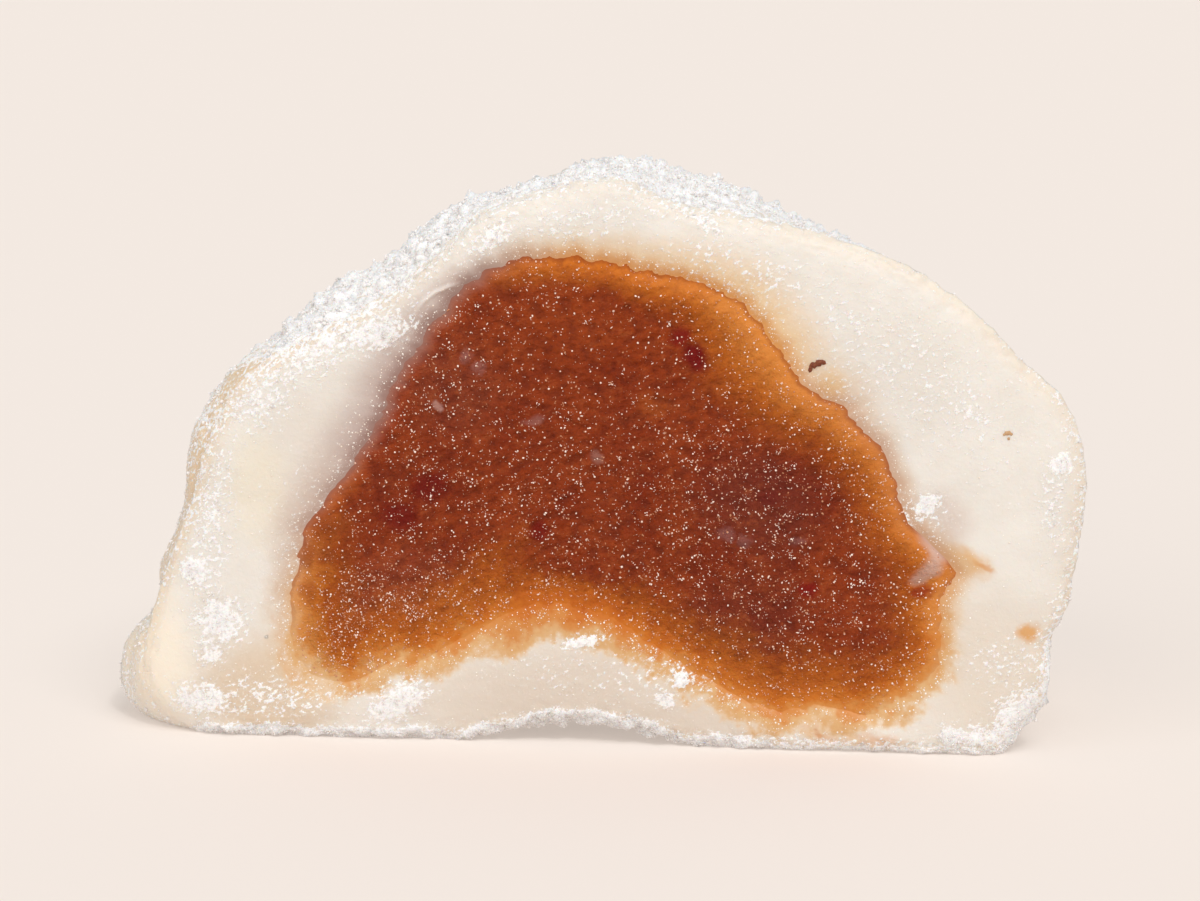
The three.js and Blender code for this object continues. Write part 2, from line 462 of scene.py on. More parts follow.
# On the cut: x, z, half width, half height, turn in degrees, amount
STARCH_PATCHES = [
    (-15.6, 23.8, 7.5, 1.9, 35, 0.66),
    (-12.6, 24.3, 2.2, 1.1, 20, 1.0),
    (-19.8, 20.0, 3.2, 2.0, 42, 0.60),
    (-22.7, 13.0, 1.7, 7.5, -6, 0.53),
    (-23.7, 9.9, 1.1, 1.1, 30, 0.95),
    (-22.2, 7.0, 1.8, 1.8, 30, 0.88),
    (-22.8, 5.0, 1.2, 1.0, 30, 0.75),
    (-23.4, 2.2, 2.2, 1.2, 0, 0.9),
    (-19.4, 2.4, 6.5, 1.6, 0, 0.50),
    (-11.8, 2.3, 2.4, 1.2, 32, 0.92),
    (3.0, 4.2, 11.0, 2.0, 0, 0.36),
    (4.7, 4.1, 0.6, 0.5, 60, 1.2),
    (3.8, 2.9, 0.6, 0.6, -20, 1.2),
    (-1.0, 6.2, 1.6, 0.5, 10, 0.85),
    (24.3, 2.4, 1.6, 2.2, -30, 1.0),
    (22.0, 1.2, 3.0, 0.9, 0, 0.75),
    (20.3, 1.2, 0.8, 0.7, 0, 1.1),
    (18.8, 14.8, 1.0, 0.6, 35, 1.1),
    (18.4, 14.2, 2.4, 1.6, 0, 0.42),
    (26.4, 17.3, 0.8, 0.8, 0, 1.0),
    (25.9, 15.0, 1.2, 4.5, 0, 0.46),
    (23.5, 5.5, 3.0, 2.0, 0, 0.45),
    (17.5, 22.6, 10.0, 4.8, -38, 0.37),
    (9.0, 28.0, 9.0, 2.6, -16, 0.36),
    (14.0, 25.5, 3.0, 1.2, -30, 0.44),
    (21.0, 20.5, 2.5, 1.5, -40, 0.46),
    (-1.0, 30.9, 8.0, 1.4, 8, 0.43),
    (-6.0, 30.0, 2.4, 1.0, 35, 0.66),
    (5.8, 31.0, 2.6, 0.7, -30, 0.60),
    (-16.0, 10.0, 6.0, 10.0, 0, 0.26),
    (14.0, 14.0, 5.0, 6.0, 0, 0.20),
]
# The crust along the lower edge runs between two places and dies out over the fade beyond them
CRUST = {"from_x": -23.0, "to_x": 9.5, "fade": 2.0, "height": 0.85, "amount": 1.0, "thick": 0.22}


def starch_on_cut(x, z, angle, rim_gap, wander):
    """Amount of starch on the cut, from the patches, the rim and the crust along the bottom."""
    amount = round_the_heart(RIM_DUST, angle) * np.exp(-((rim_gap / RIM_DUST_WIDTH) ** 2))
    for at_x, at_z, half_width, half_height, turn, strength in STARCH_PATCHES:
        c, s = math.cos(math.radians(turn)), math.sin(math.radians(turn))
        along = ((x - at_x) * c + (z - at_z) * s) / half_width
        across = ((z - at_z) * c - (x - at_x) * s) / half_height
        amount = np.maximum(amount, strength * np.exp(-(along**2) - across**2))
    above = z - floor_under(x, 0)
    crust = ease(CRUST["height"] * 1.4, CRUST["height"] * 0.5, above + 0.35 * wander)
    crust = crust * ease(CRUST["from_x"] - CRUST["fade"], CRUST["from_x"], x)
    crust = crust * ease(CRUST["to_x"] + CRUST["fade"], CRUST["to_x"], x)
    return np.maximum(amount, CRUST["amount"] * crust)


# %% [markdown]
# ## The dough
# The dough is elastic, so it swells a little out of the cut and its rim rolls back. The relief has several
# sizes: wide dents from the fingers, heaps and lumps where starch lies, a crust of it along the lower edge,
# and a lip where the dough on the upper left was pulled over the filling. The material adds only the finest
# grain.

# %% Dough surface
SKIN_RINGS = 100
FACE_RINGS = 62
HOLLOW_RINGS = 10
CROWDED_TO_RIM = 1.3
JOIN_VALLEY = 0.08
VALLEY_WIDTH = 0.35
LIP = [(-10.7, 25.2), (-10.2, 26.0), (-9.5, 26.6), (-8.6, 27.0), (-7.8, 27.15)]
LIP_HEIGHT = 0.16
LIP_WIDTH = 0.13
SERRATION = 0.11
HEAP_HEIGHT = 0.75
DRY_AND_SHADED_RIM_WIDTH = 0.7
# The crease behind the rim at the left foot, where the dough folded over itself
CREASE = {"angle": 207, "spread": 5, "depth": 2.2, "width": 0.9, "height": 0.35}
# Dents of the left flank where the foot bulges out below it: spoke angle, spread in degrees, depth
FLANK_DENTS = [(200.8, 2.6, 1.3), (193.0, 6.0, 0.75)]
# How tan the outside is, by angle round the heart: partly dry skin, partly painted shade on the left flank,
# which faces away from the light
DRY_AND_SHADED_SKIN = [
    (0, 0.35), (60, 0.25), (125, 0.1), (150, 0.5), (165, 0.9), (190, 0.9), (202, 0.5), (209, 0.15),
    (222, 0.1), (240, 0.5), (330, 0.5),
]  # fmt: skip
SKIN, CUT, HOLLOW = 0, 1, 2  # what a ring of the dough is part of


def distance_to_line(x, z, line):
    """Distance from points of the cut to a bent line, and how far along it the nearest place is."""
    best = np.full(x.shape, 1e9)
    where = np.zeros(x.shape)
    for step, (start, end) in enumerate(zip(line, line[1:])):
        start, end = np.array(start), np.array(end)
        span = end - start
        t = np.clip(((x - start[0]) * span[0] + (z - start[1]) * span[1]) / (span @ span), 0, 1)
        gap = np.hypot(x - start[0] - t * span[0], z - start[1] - t * span[1])
        where = np.where(gap < best, (step + t) / (len(line) - 1), where)
        best = np.minimum(best, gap)
    return best, where


def ridge(x, z, line, height, width):
    """A low ridge along a bent line, which dies out towards both ends."""
    gap, where = distance_to_line(x, z, line)
    return height * np.sin(math.pi * np.clip(where, 0.04, 0.96)) * np.exp(-((gap / width) ** 2))


def ring_closings():
    """Closings of the outside's rings from the back to the rim, closer together towards the rim."""
    dense = np.linspace(0, 1, 1500)
    lengths = np.zeros(len(dense))
    for turn in (0.0, 0.12, 0.25, 0.38, 0.5):
        flank = dough_outside(np.full(len(dense), turn), dense)
        lengths[1:] += np.cumsum(np.linalg.norm(np.diff(flank, axis=0), axis=1))
    share = (1 - np.arange(SKIN_RINGS) / SKIN_RINGS) ** CROWDED_TO_RIM
    return np.interp(share, lengths / lengths[-1], dense)


def dough_rings():
    """Rings of the dough and what each of them is part of."""
    turns = np.arange(SPOKES) / SPOKES
    rings, kinds = [], []
    for closing in ring_closings():
        rings.append(dough_outside(turns, np.full(SPOKES, closing)))
        kinds.append(SKIN)
    rim = dough_outside(turns, np.zeros(SPOKES))
    join = paste_outside(turns, np.zeros(SPOKES))
    for step in range(FACE_RINGS + 1):
        share = step / FACE_RINGS
        across = 0.5 * share + 0.25 * (1 - math.cos(math.pi * share))
        ring = rim * (1 - across) + join * across
        ring[:, 1] = RIM_ROUNDING * math.exp(-across / RIM_SHARE) - FACE_PUFF * math.sin(math.pi * across)
        rings.append(ring)
        kinds.append(CUT)
    for step in range(1, HOLLOW_RINGS + 1):
        rings.append(paste_outside(turns, np.full(SPOKES, step / HOLLOW_RINGS)))
        kinds.append(HOLLOW)
    rings = np.array(rings)
    return rings, np.array(kinds)[:, None] * np.ones(SPOKES)


rings, kinds = dough_rings()
dough_points = ring_points(rings)
kind = ring_points(kinds)
on_skin, on_cut, in_hollow = kind == SKIN, kind == CUT, kind == HOLLOW
print("dough rings:", len(rings), "points:", len(dough_points))

# %% Starch of the dough
FAR = 50.0
# Beyond the tables by angle: everywhere, more on top, more near the table, and uneven
STARCH_BEHIND = {"all": 0.52, "top": 0.35, "foot": 0.25, "uneven": 0.3}
x, y, z = dough_points.T
angle = angle_at(x, z)
edge = np.full(len(x), FAR)
edge[on_cut] = distance_to(join_tree, dough_points[on_cut])
edge[in_hollow] = 0.0
dough_edge, dough_z = edge, z
rim_gap = distance_to(rim_tree, dough_points)

wander = clouds(dough_points, 2.2, seed=1)
lumps = clouds(dough_points, 0.7, seed=2, octaves=3)
dents = clouds(dough_points, 6.0, seed=3)
near_cut = np.exp(-((np.clip(y, 0, None) / TABLE_DEPTH) ** 2))
all_over = STARCH_BEHIND["all"] + STARCH_BEHIND["top"] * ease(8, 26, z)
all_over = all_over + STARCH_BEHIND["foot"] * ease(5, 0, z) + STARCH_BEHIND["uneven"] * dents
starch = near_cut * round_the_heart(STARCH_OUTSIDE, angle) + (1 - near_cut) * all_over
starch = starch * (0.8 + 0.4 * ease(-0.5, 0.3, wander))
starch = np.where(on_cut, starch_on_cut(x, z, angle, rim_gap, wander), starch)
starch[in_hollow] = 0
print("points with much starch:", int((starch > 0.5).sum()))

# %% [markdown]
# Every form of the relief is a height along the surface's own direction. The heights are summed first, and
# the points move once. Near the back pole the rings are so close that all heights fade out there.

# %% Relief of the dough
FINGER_DENTS = 0.10
STARCH_RELIEF = {"cut": 0.07, "crust": 0.12, "back": 0.05, "front": 0.20}
CUT_SWELLS = 0.05
CUT_GRAIN = 0.012
NEAR_POLE = 9.5
mesh = closed_mesh("rice_dough_skin", dough_points, SPOKES, len(rings))
normals = normals_of(mesh)
off_table = ease(0.0, 0.4, z)
finely = ease(15.0, 6.0, y)
in_crust = ease(1.5, 0.5, z - floor_under(x, 0)) * on_cut
some_starch = np.clip(starch, 0, 1)

out = FINGER_DENTS * dents * ease(0.02, 0.9, z) * on_skin
height_on_cut = STARCH_RELIEF["cut"] + STARCH_RELIEF["crust"] * in_crust
height_outside = STARCH_RELIEF["back"] + STARCH_RELIEF["front"] * finely
out += np.where(on_cut, height_on_cut, height_outside) * np.clip(lumps, -0.5, 1) * some_starch * off_table
out += CRUST["thick"] * in_crust * some_starch * (0.7 + 0.6 * np.clip(lumps, -0.5, 0.5))
flat_swells = CUT_SWELLS * clouds(dough_points, 3.2, seed=4)
out += (flat_swells + CUT_GRAIN * lumps) * on_cut * ease(0.0, 1.0, edge)
lip = ridge(x, z, LIP, LIP_HEIGHT, LIP_WIDTH) * on_cut
out += lip
by_rim = np.exp(-((rim_gap / RIM_DUST_WIDTH) ** 2)) * (y < PINCH_DEPTH)
out += SERRATION * clouds(dough_points, 0.45, seed=12) * by_rim * off_table

# %% [markdown]
# The outside gets heaps of starch: the creases between rounded heaps are where noise passes through zero, so
# its size without its sign makes heaps. They are fine near the cut and wide towards the back.

# %% Heaps, dents and crease of the outside
fine_heaps = np.abs(clouds(dough_points, 1.1, seed=9, octaves=4))
wide_heaps = np.abs(clouds(dough_points, 3.0, seed=9, octaves=2))
heaps = finely * fine_heaps + (1 - finely) * wide_heaps
heaped = ease(0.45, 0.95, starch) * on_skin * ease(0.0, 1.5, z)
out += HEAP_HEIGHT * (0.4 + 0.6 * finely) * (heaps - 0.15) * heaped
for at, spread, deep in FLANK_DENTS:
    here = np.exp(-(((angle - at) / spread) ** 2))
    out -= deep * here * (y / PINCH_DEPTH) * np.exp(1 - y / PINCH_DEPTH) * on_skin
pole = ease(0.0, NEAR_POLE, np.hypot(x - SKIN_BACK["x"], z - SKIN_BACK["z"]))
out *= np.where(y > CAKE_DEPTH * 0.8, pole, 1)
by_angle = (angle - CREASE["angle"]) / CREASE["spread"]
by_depth = (y - CREASE["depth"]) / CREASE["width"]
out -= CREASE["height"] * np.exp(-(by_angle**2) - by_depth**2) * on_skin
out[in_hollow] = 0
out = np.where(on_cut, out * ease(0.0, 0.15, edge), out)


def valley_at(edge, faded):
    """Depth of the groove along the join, which is missing where the border has faded."""
    return JOIN_VALLEY * (1 - faded) * np.exp(-((edge / VALLEY_WIDTH) ** 2))


border_marks = border_at(angle)
dough_points = dough_points + normals * out[:, None]
dough_points[:, 1] += valley_at(edge, border_marks["faded"]) * ~on_skin * ease(3.0, 0.0, y)
dough_points[:, 2] = np.maximum(dough_points[:, 2], 0)
place_points(mesh, dough_points)
print("relief of the dough from", out.min().round(2), "to", out.max().round(2), "mm")

# %% Numbers that the dough's material reads
# The tan of the outside and of the cut's rim: partly dry skin, partly painted shade where the left flank
# faces away from the light
dry_here = round_the_heart(DRY_AND_SHADED_SKIN, angle)
skin_dry = near_cut * dry_here + (1 - near_cut) * (0.07 + 0.12 * dents)
rim_dry = np.clip(0.9 * dry_here, 0, 0.6) * np.exp(-((rim_gap / DRY_AND_SHADED_RIM_WIDTH) ** 2))
store(
    mesh,
    edge=edge,
    **border_marks,
    starch=starch,
    lip=lip / LIP_HEIGHT,
    # painted shade in the creases between the heaps of starch
    crevice=0.6 * heaped * finely * ease(0.08, 0.0, heaps),
    dry=np.where(on_cut, rim_dry, skin_dry) * ~in_hollow,
)
sharpen_ring(mesh, 1 + (SKIN_RINGS + FACE_RINGS - 1) * SPOKES, SPOKES)
dough_mesh = mesh

# %% [markdown]
# ## The bean paste
# Boiled beans were sieved and cooked with sugar, so the paste is smooth but not slick: the knife tore it in
# fine rows that slope gently. The rows are stretched noise, turned by the same slope, over a finer grain.
# On the right a tongue of dough was dragged over it, which is a low ridge.

# %% Paste surface
PASTE_FACE_RINGS = 104
PASTE_WALL_RINGS = 14
ROW_SLOPE = math.radians(20)
ROW_HEIGHT = 0.10
GRAIN_HEIGHT = 0.07
SWELL_HEIGHT = 0.12
TONGUE = [(19.0, 13.3), (19.4, 12.5), (19.5, 11.9), (19.2, 11.2), (18.7, 10.7), (18.1, 10.3)]
TONGUE_HEIGHT = 0.18
TONGUE_WIDTH = 0.55
# Wetter places of the filling: x, z, half width, half height, how much wetter
WETTER = [
    (-14.8, 6.4, 3.4, 3.0, 1.1),
    (-8.0, 8.2, 5.5, 1.6, 1.0),
    (9.0, 14.0, 4.5, 4.0, 0.3),
    (14.0, 5.5, 4.0, 2.6, 0.3),
    (0.0, 23.5, 9.0, 4.0, -0.45),
]
WALL_GAP = 0.03  # clear space between the filling's wall and the dough


def paste_rings():
    """Rings of the paste from the back pole along the wall to the cut and in to the heart."""
    turns = np.arange(SPOKES) / SPOKES
    rings = []
    for step in range(PASTE_WALL_RINGS):
        closing = np.full(SPOKES, 1 - step / PASTE_WALL_RINGS)
        rings.append(paste_outside(turns, closing, -WALL_GAP))
    join = paste_outside(turns, np.zeros(SPOKES))
    for step in range(PASTE_FACE_RINGS + 1):
        out = 1 - step / PASTE_FACE_RINGS
        ring = join.copy()
        ring[:, 0] = HEART[0] + (join[:, 0] - HEART[0]) * out
        ring[:, 2] = HEART[1] + (join[:, 2] - HEART[1]) * out
        ring[:, 1] = -PASTE_CROWN * (1 - out**2)
        rings.append(ring)
    return np.array(rings)


rings = paste_rings()
paste_points = ring_points(rings)
x, y, z = paste_points.T
angle = angle_at(x, z)
on_face = np.zeros(len(paste_points), bool)
on_face[1 + (PASTE_WALL_RINGS - 1) * SPOKES :] = True
edge = np.where(on_face, -distance_to(join_tree, paste_points), 0)
border_marks = border_at(angle)

c, s = math.cos(ROW_SLOPE), math.sin(ROW_SLOPE)
turned = np.stack([x * c + z * s, y, z * c - x * s], axis=1)
rows = clouds(turned, 0.55, seed=5, octaves=3, stretch=(1.6, 1, 1))
grain = clouds(paste_points, 0.7, seed=6, octaves=3)
swells = clouds(paste_points, 4.0, seed=7)
inward = ease(0.0, 0.8, -edge)
out = (ROW_HEIGHT * rows + GRAIN_HEIGHT * grain + SWELL_HEIGHT * swells) * inward
out += ridge(x, z, TONGUE, TONGUE_HEIGHT, TONGUE_WIDTH) * ease(0.0, 0.3, -edge)
paste_points[:, 1] += (valley_at(edge, border_marks["faded"]) - out) * on_face
paste_mesh = closed_mesh("bean_paste_core", paste_points, SPOKES, len(rings))
wet = ease(0.0, 0.12, -edge) * (0.55 + 0.45 * ease(-0.25, 0.25, clouds(paste_points, 3.0, seed=8)))
wet = np.clip(wet * (0.35 + 1.0 * ease(0.0, 0.25, rows)), 0, 1) * on_face
for at_x, at_z, half_width, half_height, more in WETTER:
    wet *= 1 + more * np.exp(-(((x - at_x) / half_width) ** 2) - ((z - at_z) / half_height) ** 2)
sharpen_ring(paste_mesh, 1 + (PASTE_WALL_RINGS - 1) * SPOKES, SPOKES)
tongue_gap, tongue_along = distance_to_line(x, z, TONGUE)
tongue_gap = np.abs(tongue_gap + 0.2 * clouds(paste_points, 0.8, seed=10))
tongue_reach = TONGUE_WIDTH * (1.4 - 0.8 * tongue_along)
store(
    paste_mesh,
    edge=edge,
    **border_marks,
    wet=wet,
    tongue=(0.86 - 0.36 * tongue_along) * ease(1.4, 0.4, tongue_gap / tongue_reach) * on_face,
    relief=np.clip(0.5 + 0.5 * (rows + grain), 0, 1),
)
print("paste points:", len(paste_points))

# %% [markdown]
# ## Colours
# Colours are written as sRGB hex values, as they are read off a screen. Blender's shaders work in linear
# light, so one function turns them. Materials are painted as a list of coats: each coat is a colour and how
# strongly it covers what lies below, so the order of the list is the order of the paint.

# %% Colour and node helpers
def linear(code):
    """Linear RGBA for an sRGB hex value such as #8b4128."""
    parts = [int(code[i : i + 2], 16) / 255 for i in (1, 3, 5)]
    return tuple(c / 12.92 if c <= 0.04045 else ((c + 0.055) / 1.055) ** 2.4 for c in parts) + (1.0,)


def connect(tree, node, inputs):
    """Gives each listed input of a node a value or a link."""
    for key, value in inputs.items():
        if isinstance(value, bpy.types.NodeSocket):
            tree.links.new(value, node.inputs[key])
        else:
            node.inputs[key].default_value = value


def add(tree, kind, inputs=None, out=0, **settings):
    """Adds a node with its settings and inputs, and returns one of its outputs."""
    node = tree.nodes.new(kind)
    for name, value in settings.items():
        setattr(node, name, value)
    connect(tree, node, inputs or {})
    return node.outputs[out] if node.outputs else None


def new_material(name):
    """An empty material, its node tree and its shader."""
    material = bpy.data.materials.new(name)
    material.use_nodes = True
    tree = material.node_tree
    tree.nodes.clear()
    surface = add(tree, "ShaderNodeBsdfPrincipled")
    add(tree, "ShaderNodeOutputMaterial", {"Surface": surface})
    return material, tree, surface.node


def cake_millimetres(tree):
    """Object coordinates as cake millimetres, so that patterns and places are written in real sizes."""
    place = add(tree, "ShaderNodeTexCoord", out="Object")
    return add(tree, "ShaderNodeMapping", {"Vector": place, "Scale": (MM, MM, MM), "Location": tuple(-SHIFT)})


def paint(tree, under, coats):
    """Lays coats of (share, colour) over a first colour and returns the last colour."""
    for share, colour in coats:
        colour = linear(colour) if isinstance(colour, str) else colour
        under = add(tree, "ShaderNodeMix", {0: share, 6: under, 7: colour}, out=2, data_type="RGBA")
    return under


# %% Spots with uneven outlines
SMOOTH = {"interpolation_type": "SMOOTHSTEP"}
SPOT_DEPTH = 6.0
SPOT_EDGE = 1.25  # where a spot ends and where it is full, as shares of its half width
SPOT_CORE = 0.35


def uneven(tree, place, size, detail):
    """Places pushed about by noise, so that what is painted there gets an uneven outline."""
    push = {"Vector": place, "Scale": 1 / size, "Detail": detail}
    push = add(tree, "ShaderNodeTexNoise", push, out="Color")
    push = {0: push, 1: (size, size, size), 2: place}
    pushed = add(tree, "ShaderNodeVectorMath", push, operation="MULTIPLY_ADD")
    return add(tree, "ShaderNodeVectorMath", {0: pushed, 1: (size / 2,) * 3}, operation="SUBTRACT")


def spot_coats(tree, place, spots):
    """Coats for named spots on the cut: x, z, half width, half height, turn, strength, colour."""
    coats = []
    for at_x, at_z, half_width, half_height, turn, strength, colour in spots:
        where = {"Vector": place, "Location": (at_x, 0, at_z), "Rotation": (0, -math.radians(turn), 0)}
        where["Scale"] = (half_width, SPOT_DEPTH, half_height)
        centred = add(tree, "ShaderNodeMapping", where, vector_type="TEXTURE")
        away = add(tree, "ShaderNodeVectorMath", {0: centred}, out="Value", operation="LENGTH")
        share = {"Value": away, "From Min": SPOT_EDGE, "From Max": SPOT_CORE, "To Max": strength}
        coats.append((add(tree, "ShaderNodeMapRange", share, **SMOOTH), colour))
    return coats


# %% [markdown]
# Both bodies share the recipe of the border. The stored distance is roughened by noise of two sizes, so
# that the line wanders as it does where paste soaks into dough, and then measured against the width of the
# halo on the dough's side and of the amber band on the filling's side.

# %% Shared border recipe
WANDER_COARSE = 1.9  # sizes of the noise that the line wanders by
WANDER_FINE = 0.45


def border(tree, place, *more):
    """The roughened distance to the join, the characters of the border and more stored numbers."""
    marks = {}
    for name in ("edge", *BORDER, *more):
        marks[name] = add(tree, "ShaderNodeAttribute", out="Fac", attribute_name=name)
    marks["gap"] = add(tree, "ShaderNodeMath", {0: marks["edge"]}, operation="ABSOLUTE")
    coarse = add(tree, "ShaderNodeTexNoise", {"Vector": place, "Scale": 1 / WANDER_COARSE, "Detail": 2.0})
    coarse = add(tree, "ShaderNodeMath", {0: coarse, 1: 0.5}, operation="SUBTRACT")
    fine = add(tree, "ShaderNodeTexNoise", {"Vector": place, "Scale": 1 / WANDER_FINE, "Detail": 3.0})
    fine = add(tree, "ShaderNodeMath", {0: fine, 1: 0.5}, operation="SUBTRACT")
    wander = add(tree, "ShaderNodeMath", {0: fine, 1: 0.6, 2: coarse}, operation="MULTIPLY_ADD")
    loose = add(tree, "ShaderNodeMapRange", {"Value": marks["faded"], "To Min": 0.3, "To Max": 2.2})
    wander = {0: wander, 1: loose, 2: marks["edge"]}
    marks["edge"] = add(tree, "ShaderNodeMath", wander, operation="MULTIPLY_ADD")
    return marks


# Colours across the faded border: millimetres from the join, from the filling out to the dough
FADE = [(-2.4, "#b2500e"), (-1.5, "#cc7222"), (-0.8, "#d48b44"), (-0.1, "#dcae78"), (0.6, "#e6ceb0")]


def ramp(tree, value, stops):
    """A colour ramp over millimetres."""
    first, last = stops[0][0], stops[-1][0]
    share = add(tree, "ShaderNodeMapRange", {"Value": value, "From Min": first, "From Max": last})
    colour = add(tree, "ShaderNodeValToRGB", {"Fac": share}, out="Color")
    colours = colour.node.color_ramp
    colours.interpolation = "EASE"
    while len(colours.elements) < len(stops):
        colours.elements.new(0.5)
    for element, (at, code) in zip(colours.elements, stops):
        element.position = (at - first) / (last - first)
        element.color = linear(code)
    return colour


def faded_coat(tree, marks, starts, full):
    """The coat of the faded border; it starts and is full at these distances from its middle."""
    moved = add(tree, "ShaderNodeMath", {0: marks["edge"], 1: marks["spread"]}, operation="SUBTRACT")
    near = add(tree, "ShaderNodeMapRange", {"Value": moved, "From Min": starts, "From Max": full}, **SMOOTH)
    share = add(tree, "ShaderNodeMath", {0: near, 1: marks["faded"]}, operation="MULTIPLY")
    return share, ramp(tree, moved, FADE)


# %% [markdown]
# ## Cooked rice dough
# Real material: steamed glutinous rice dough, kneaded until elastic. It is a gel full of water, so light
# goes in and comes out a millimetre further on. That is what makes it look soft, and it is done with
# subsurface scattering. Where the filling is close below, the dough takes its shade.

# %% Stains of the dough, with painted shade and painted light
DOUGH_SPOTS = [
    # The first three darken the bottom, the lower left and the left of the cut: painted shade. The fifth
    # lightens the left foot, which lies in shade: painted light.
    (2.0, 3.0, 17.0, 4.6, 0, 0.80, "#dfd0c0"),
    (-19.5, 2.6, 5.0, 4.0, 0, 0.85, "#dcc4a8"),
    (-16.9, 15.5, 3.5, 6.0, -15, 0.30, "#dccbb9"),
    (-20.0, 15.0, 2.0, 4.0, 0, 0.30, "#f0e2c0"),
    (-26.5, 4.5, 3.0, 4.5, 0, 0.80, "#fbefdc"),
    (19.4, 13.9, 2.2, 2.0, -30, 0.75, "#dbc9bd"),
    (21.0, 11.5, 1.7, 1.0, -20, 0.85, "#e6b678"),
    (22.1, 11.3, 0.7, 0.22, -20, 0.60, "#db9344"),
    (13.2, 21.5, 1.0, 1.1, -20, 0.70, "#eac080"),
    (13.1, 21.2, 0.55, 0.75, 15, 0.55, "#e3ab58"),
    (19.8, 6.5, 0.9, 0.8, 0, 0.30, "#e8c79f"),
    (22.5, 5.0, 4.5, 5.5, 0, 0.75, "#e4d6c5"),
    (24.7, 7.4, 0.7, 0.65, 0, 0.9, "#dfa560"),
    (12.8, 1.3, 1.4, 0.9, -30, 0.60, "#dfa569"),
    (12.6, 1.2, 0.6, 0.3, -40, 0.60, "#c67c33"),
    (15.7, 0.8, 2.2, 0.5, 0, 0.55, "#dba06b"),
    (10.6, 2.0, 1.6, 0.5, -15, 0.45, "#dca46e"),
    (-19.5, 6.0, 0.14, 0.14, 0, 0.8, "#9a948c"),
]
# Light that goes into wet food is partly lost there, while dry starch gives nearly all of it back
DARKER_THAN_STARCH = 0.08
print("stains on the dough:", len(DOUGH_SPOTS))

# %% Halo of the filling in the dough
HALO_STRENGTH = 0.85
SOAKED = {"From Min": 1.1, "From Max": 0.0, "To Max": 1.1}
# Where the dark band along the join starts and where it is full, in millimetres: partly the filling seen
# through thin dough, partly painted shade
CLOSE_SHADE = {"From Min": 0.9, "From Max": -0.1}


def halo_coats(tree, marks):
    """Coats where the filling has soaked into the dough or shines through it, and painted shade along the
    join.
    """
    # How deep into the halo a point lies: 1 at the join, 0 where the halo ends
    ratio = add(tree, "ShaderNodeMath", {0: marks["edge"], 1: marks["halo"]}, operation="DIVIDE")
    near = add(tree, "ShaderNodeMapRange", {"Value": ratio, "From Min": 1.0, "From Max": 0.0}, **SMOOTH)
    amber = add(tree, "ShaderNodeMath", {0: 1.0, 1: marks["violet"]}, operation="SUBTRACT")
    amber = add(tree, "ShaderNodeMath", {0: amber, 1: near}, operation="MULTIPLY")
    amber = add(tree, "ShaderNodeMath", {0: amber, 1: HALO_STRENGTH}, operation="MULTIPLY")
    soak = add(tree, "ShaderNodeMapRange", {"Value": marks["edge"], **SOAKED}, **SMOOTH)
    soak = add(tree, "ShaderNodeMath", {0: soak, 1: amber}, operation="MULTIPLY")
    violet = add(tree, "ShaderNodeMath", {0: marks["violet"], 1: near}, operation="MULTIPLY")
    # The dark band right at the join: partly the filling seen through thin dough, partly painted shade
    close_shade = {"Value": marks["edge"], "To Max": marks["violet"], **CLOSE_SHADE}
    close_shade = add(tree, "ShaderNodeMapRange", close_shade, **SMOOTH)
    close_shade = add(tree, "ShaderNodeMath", {0: close_shade, 1: 0.75}, operation="MULTIPLY")
    strong = add(tree, "ShaderNodeMath", {0: marks["violet"], 1: 2.0}, operation="POWER")
    close_shade = add(tree, "ShaderNodeMath", {0: close_shade, 1: strong}, operation="MULTIPLY")
    return [(amber, "#ecc284"), (soak, "#dc9242"), (violet, "#c0a89f"), (close_shade, "#8a5c4e")]


# %% [markdown]
# The stored amount of starch is a soft number, but real starch lies in hard white flecks. Noise is added to
# the amount, and the dough is white where the sum passes a threshold: little starch gives a few flecks, much
# gives a lacy sheet. Where little lies the noise is finer. It is stretched a little along the knife's way.

# %% Starch lying on the dough
KNIFE_SLOPE = math.radians(30)
SHEET_SIZE = 0.65
FLECK_SIZE = 0.26
THRESHOLD = (0.73, 0.76)


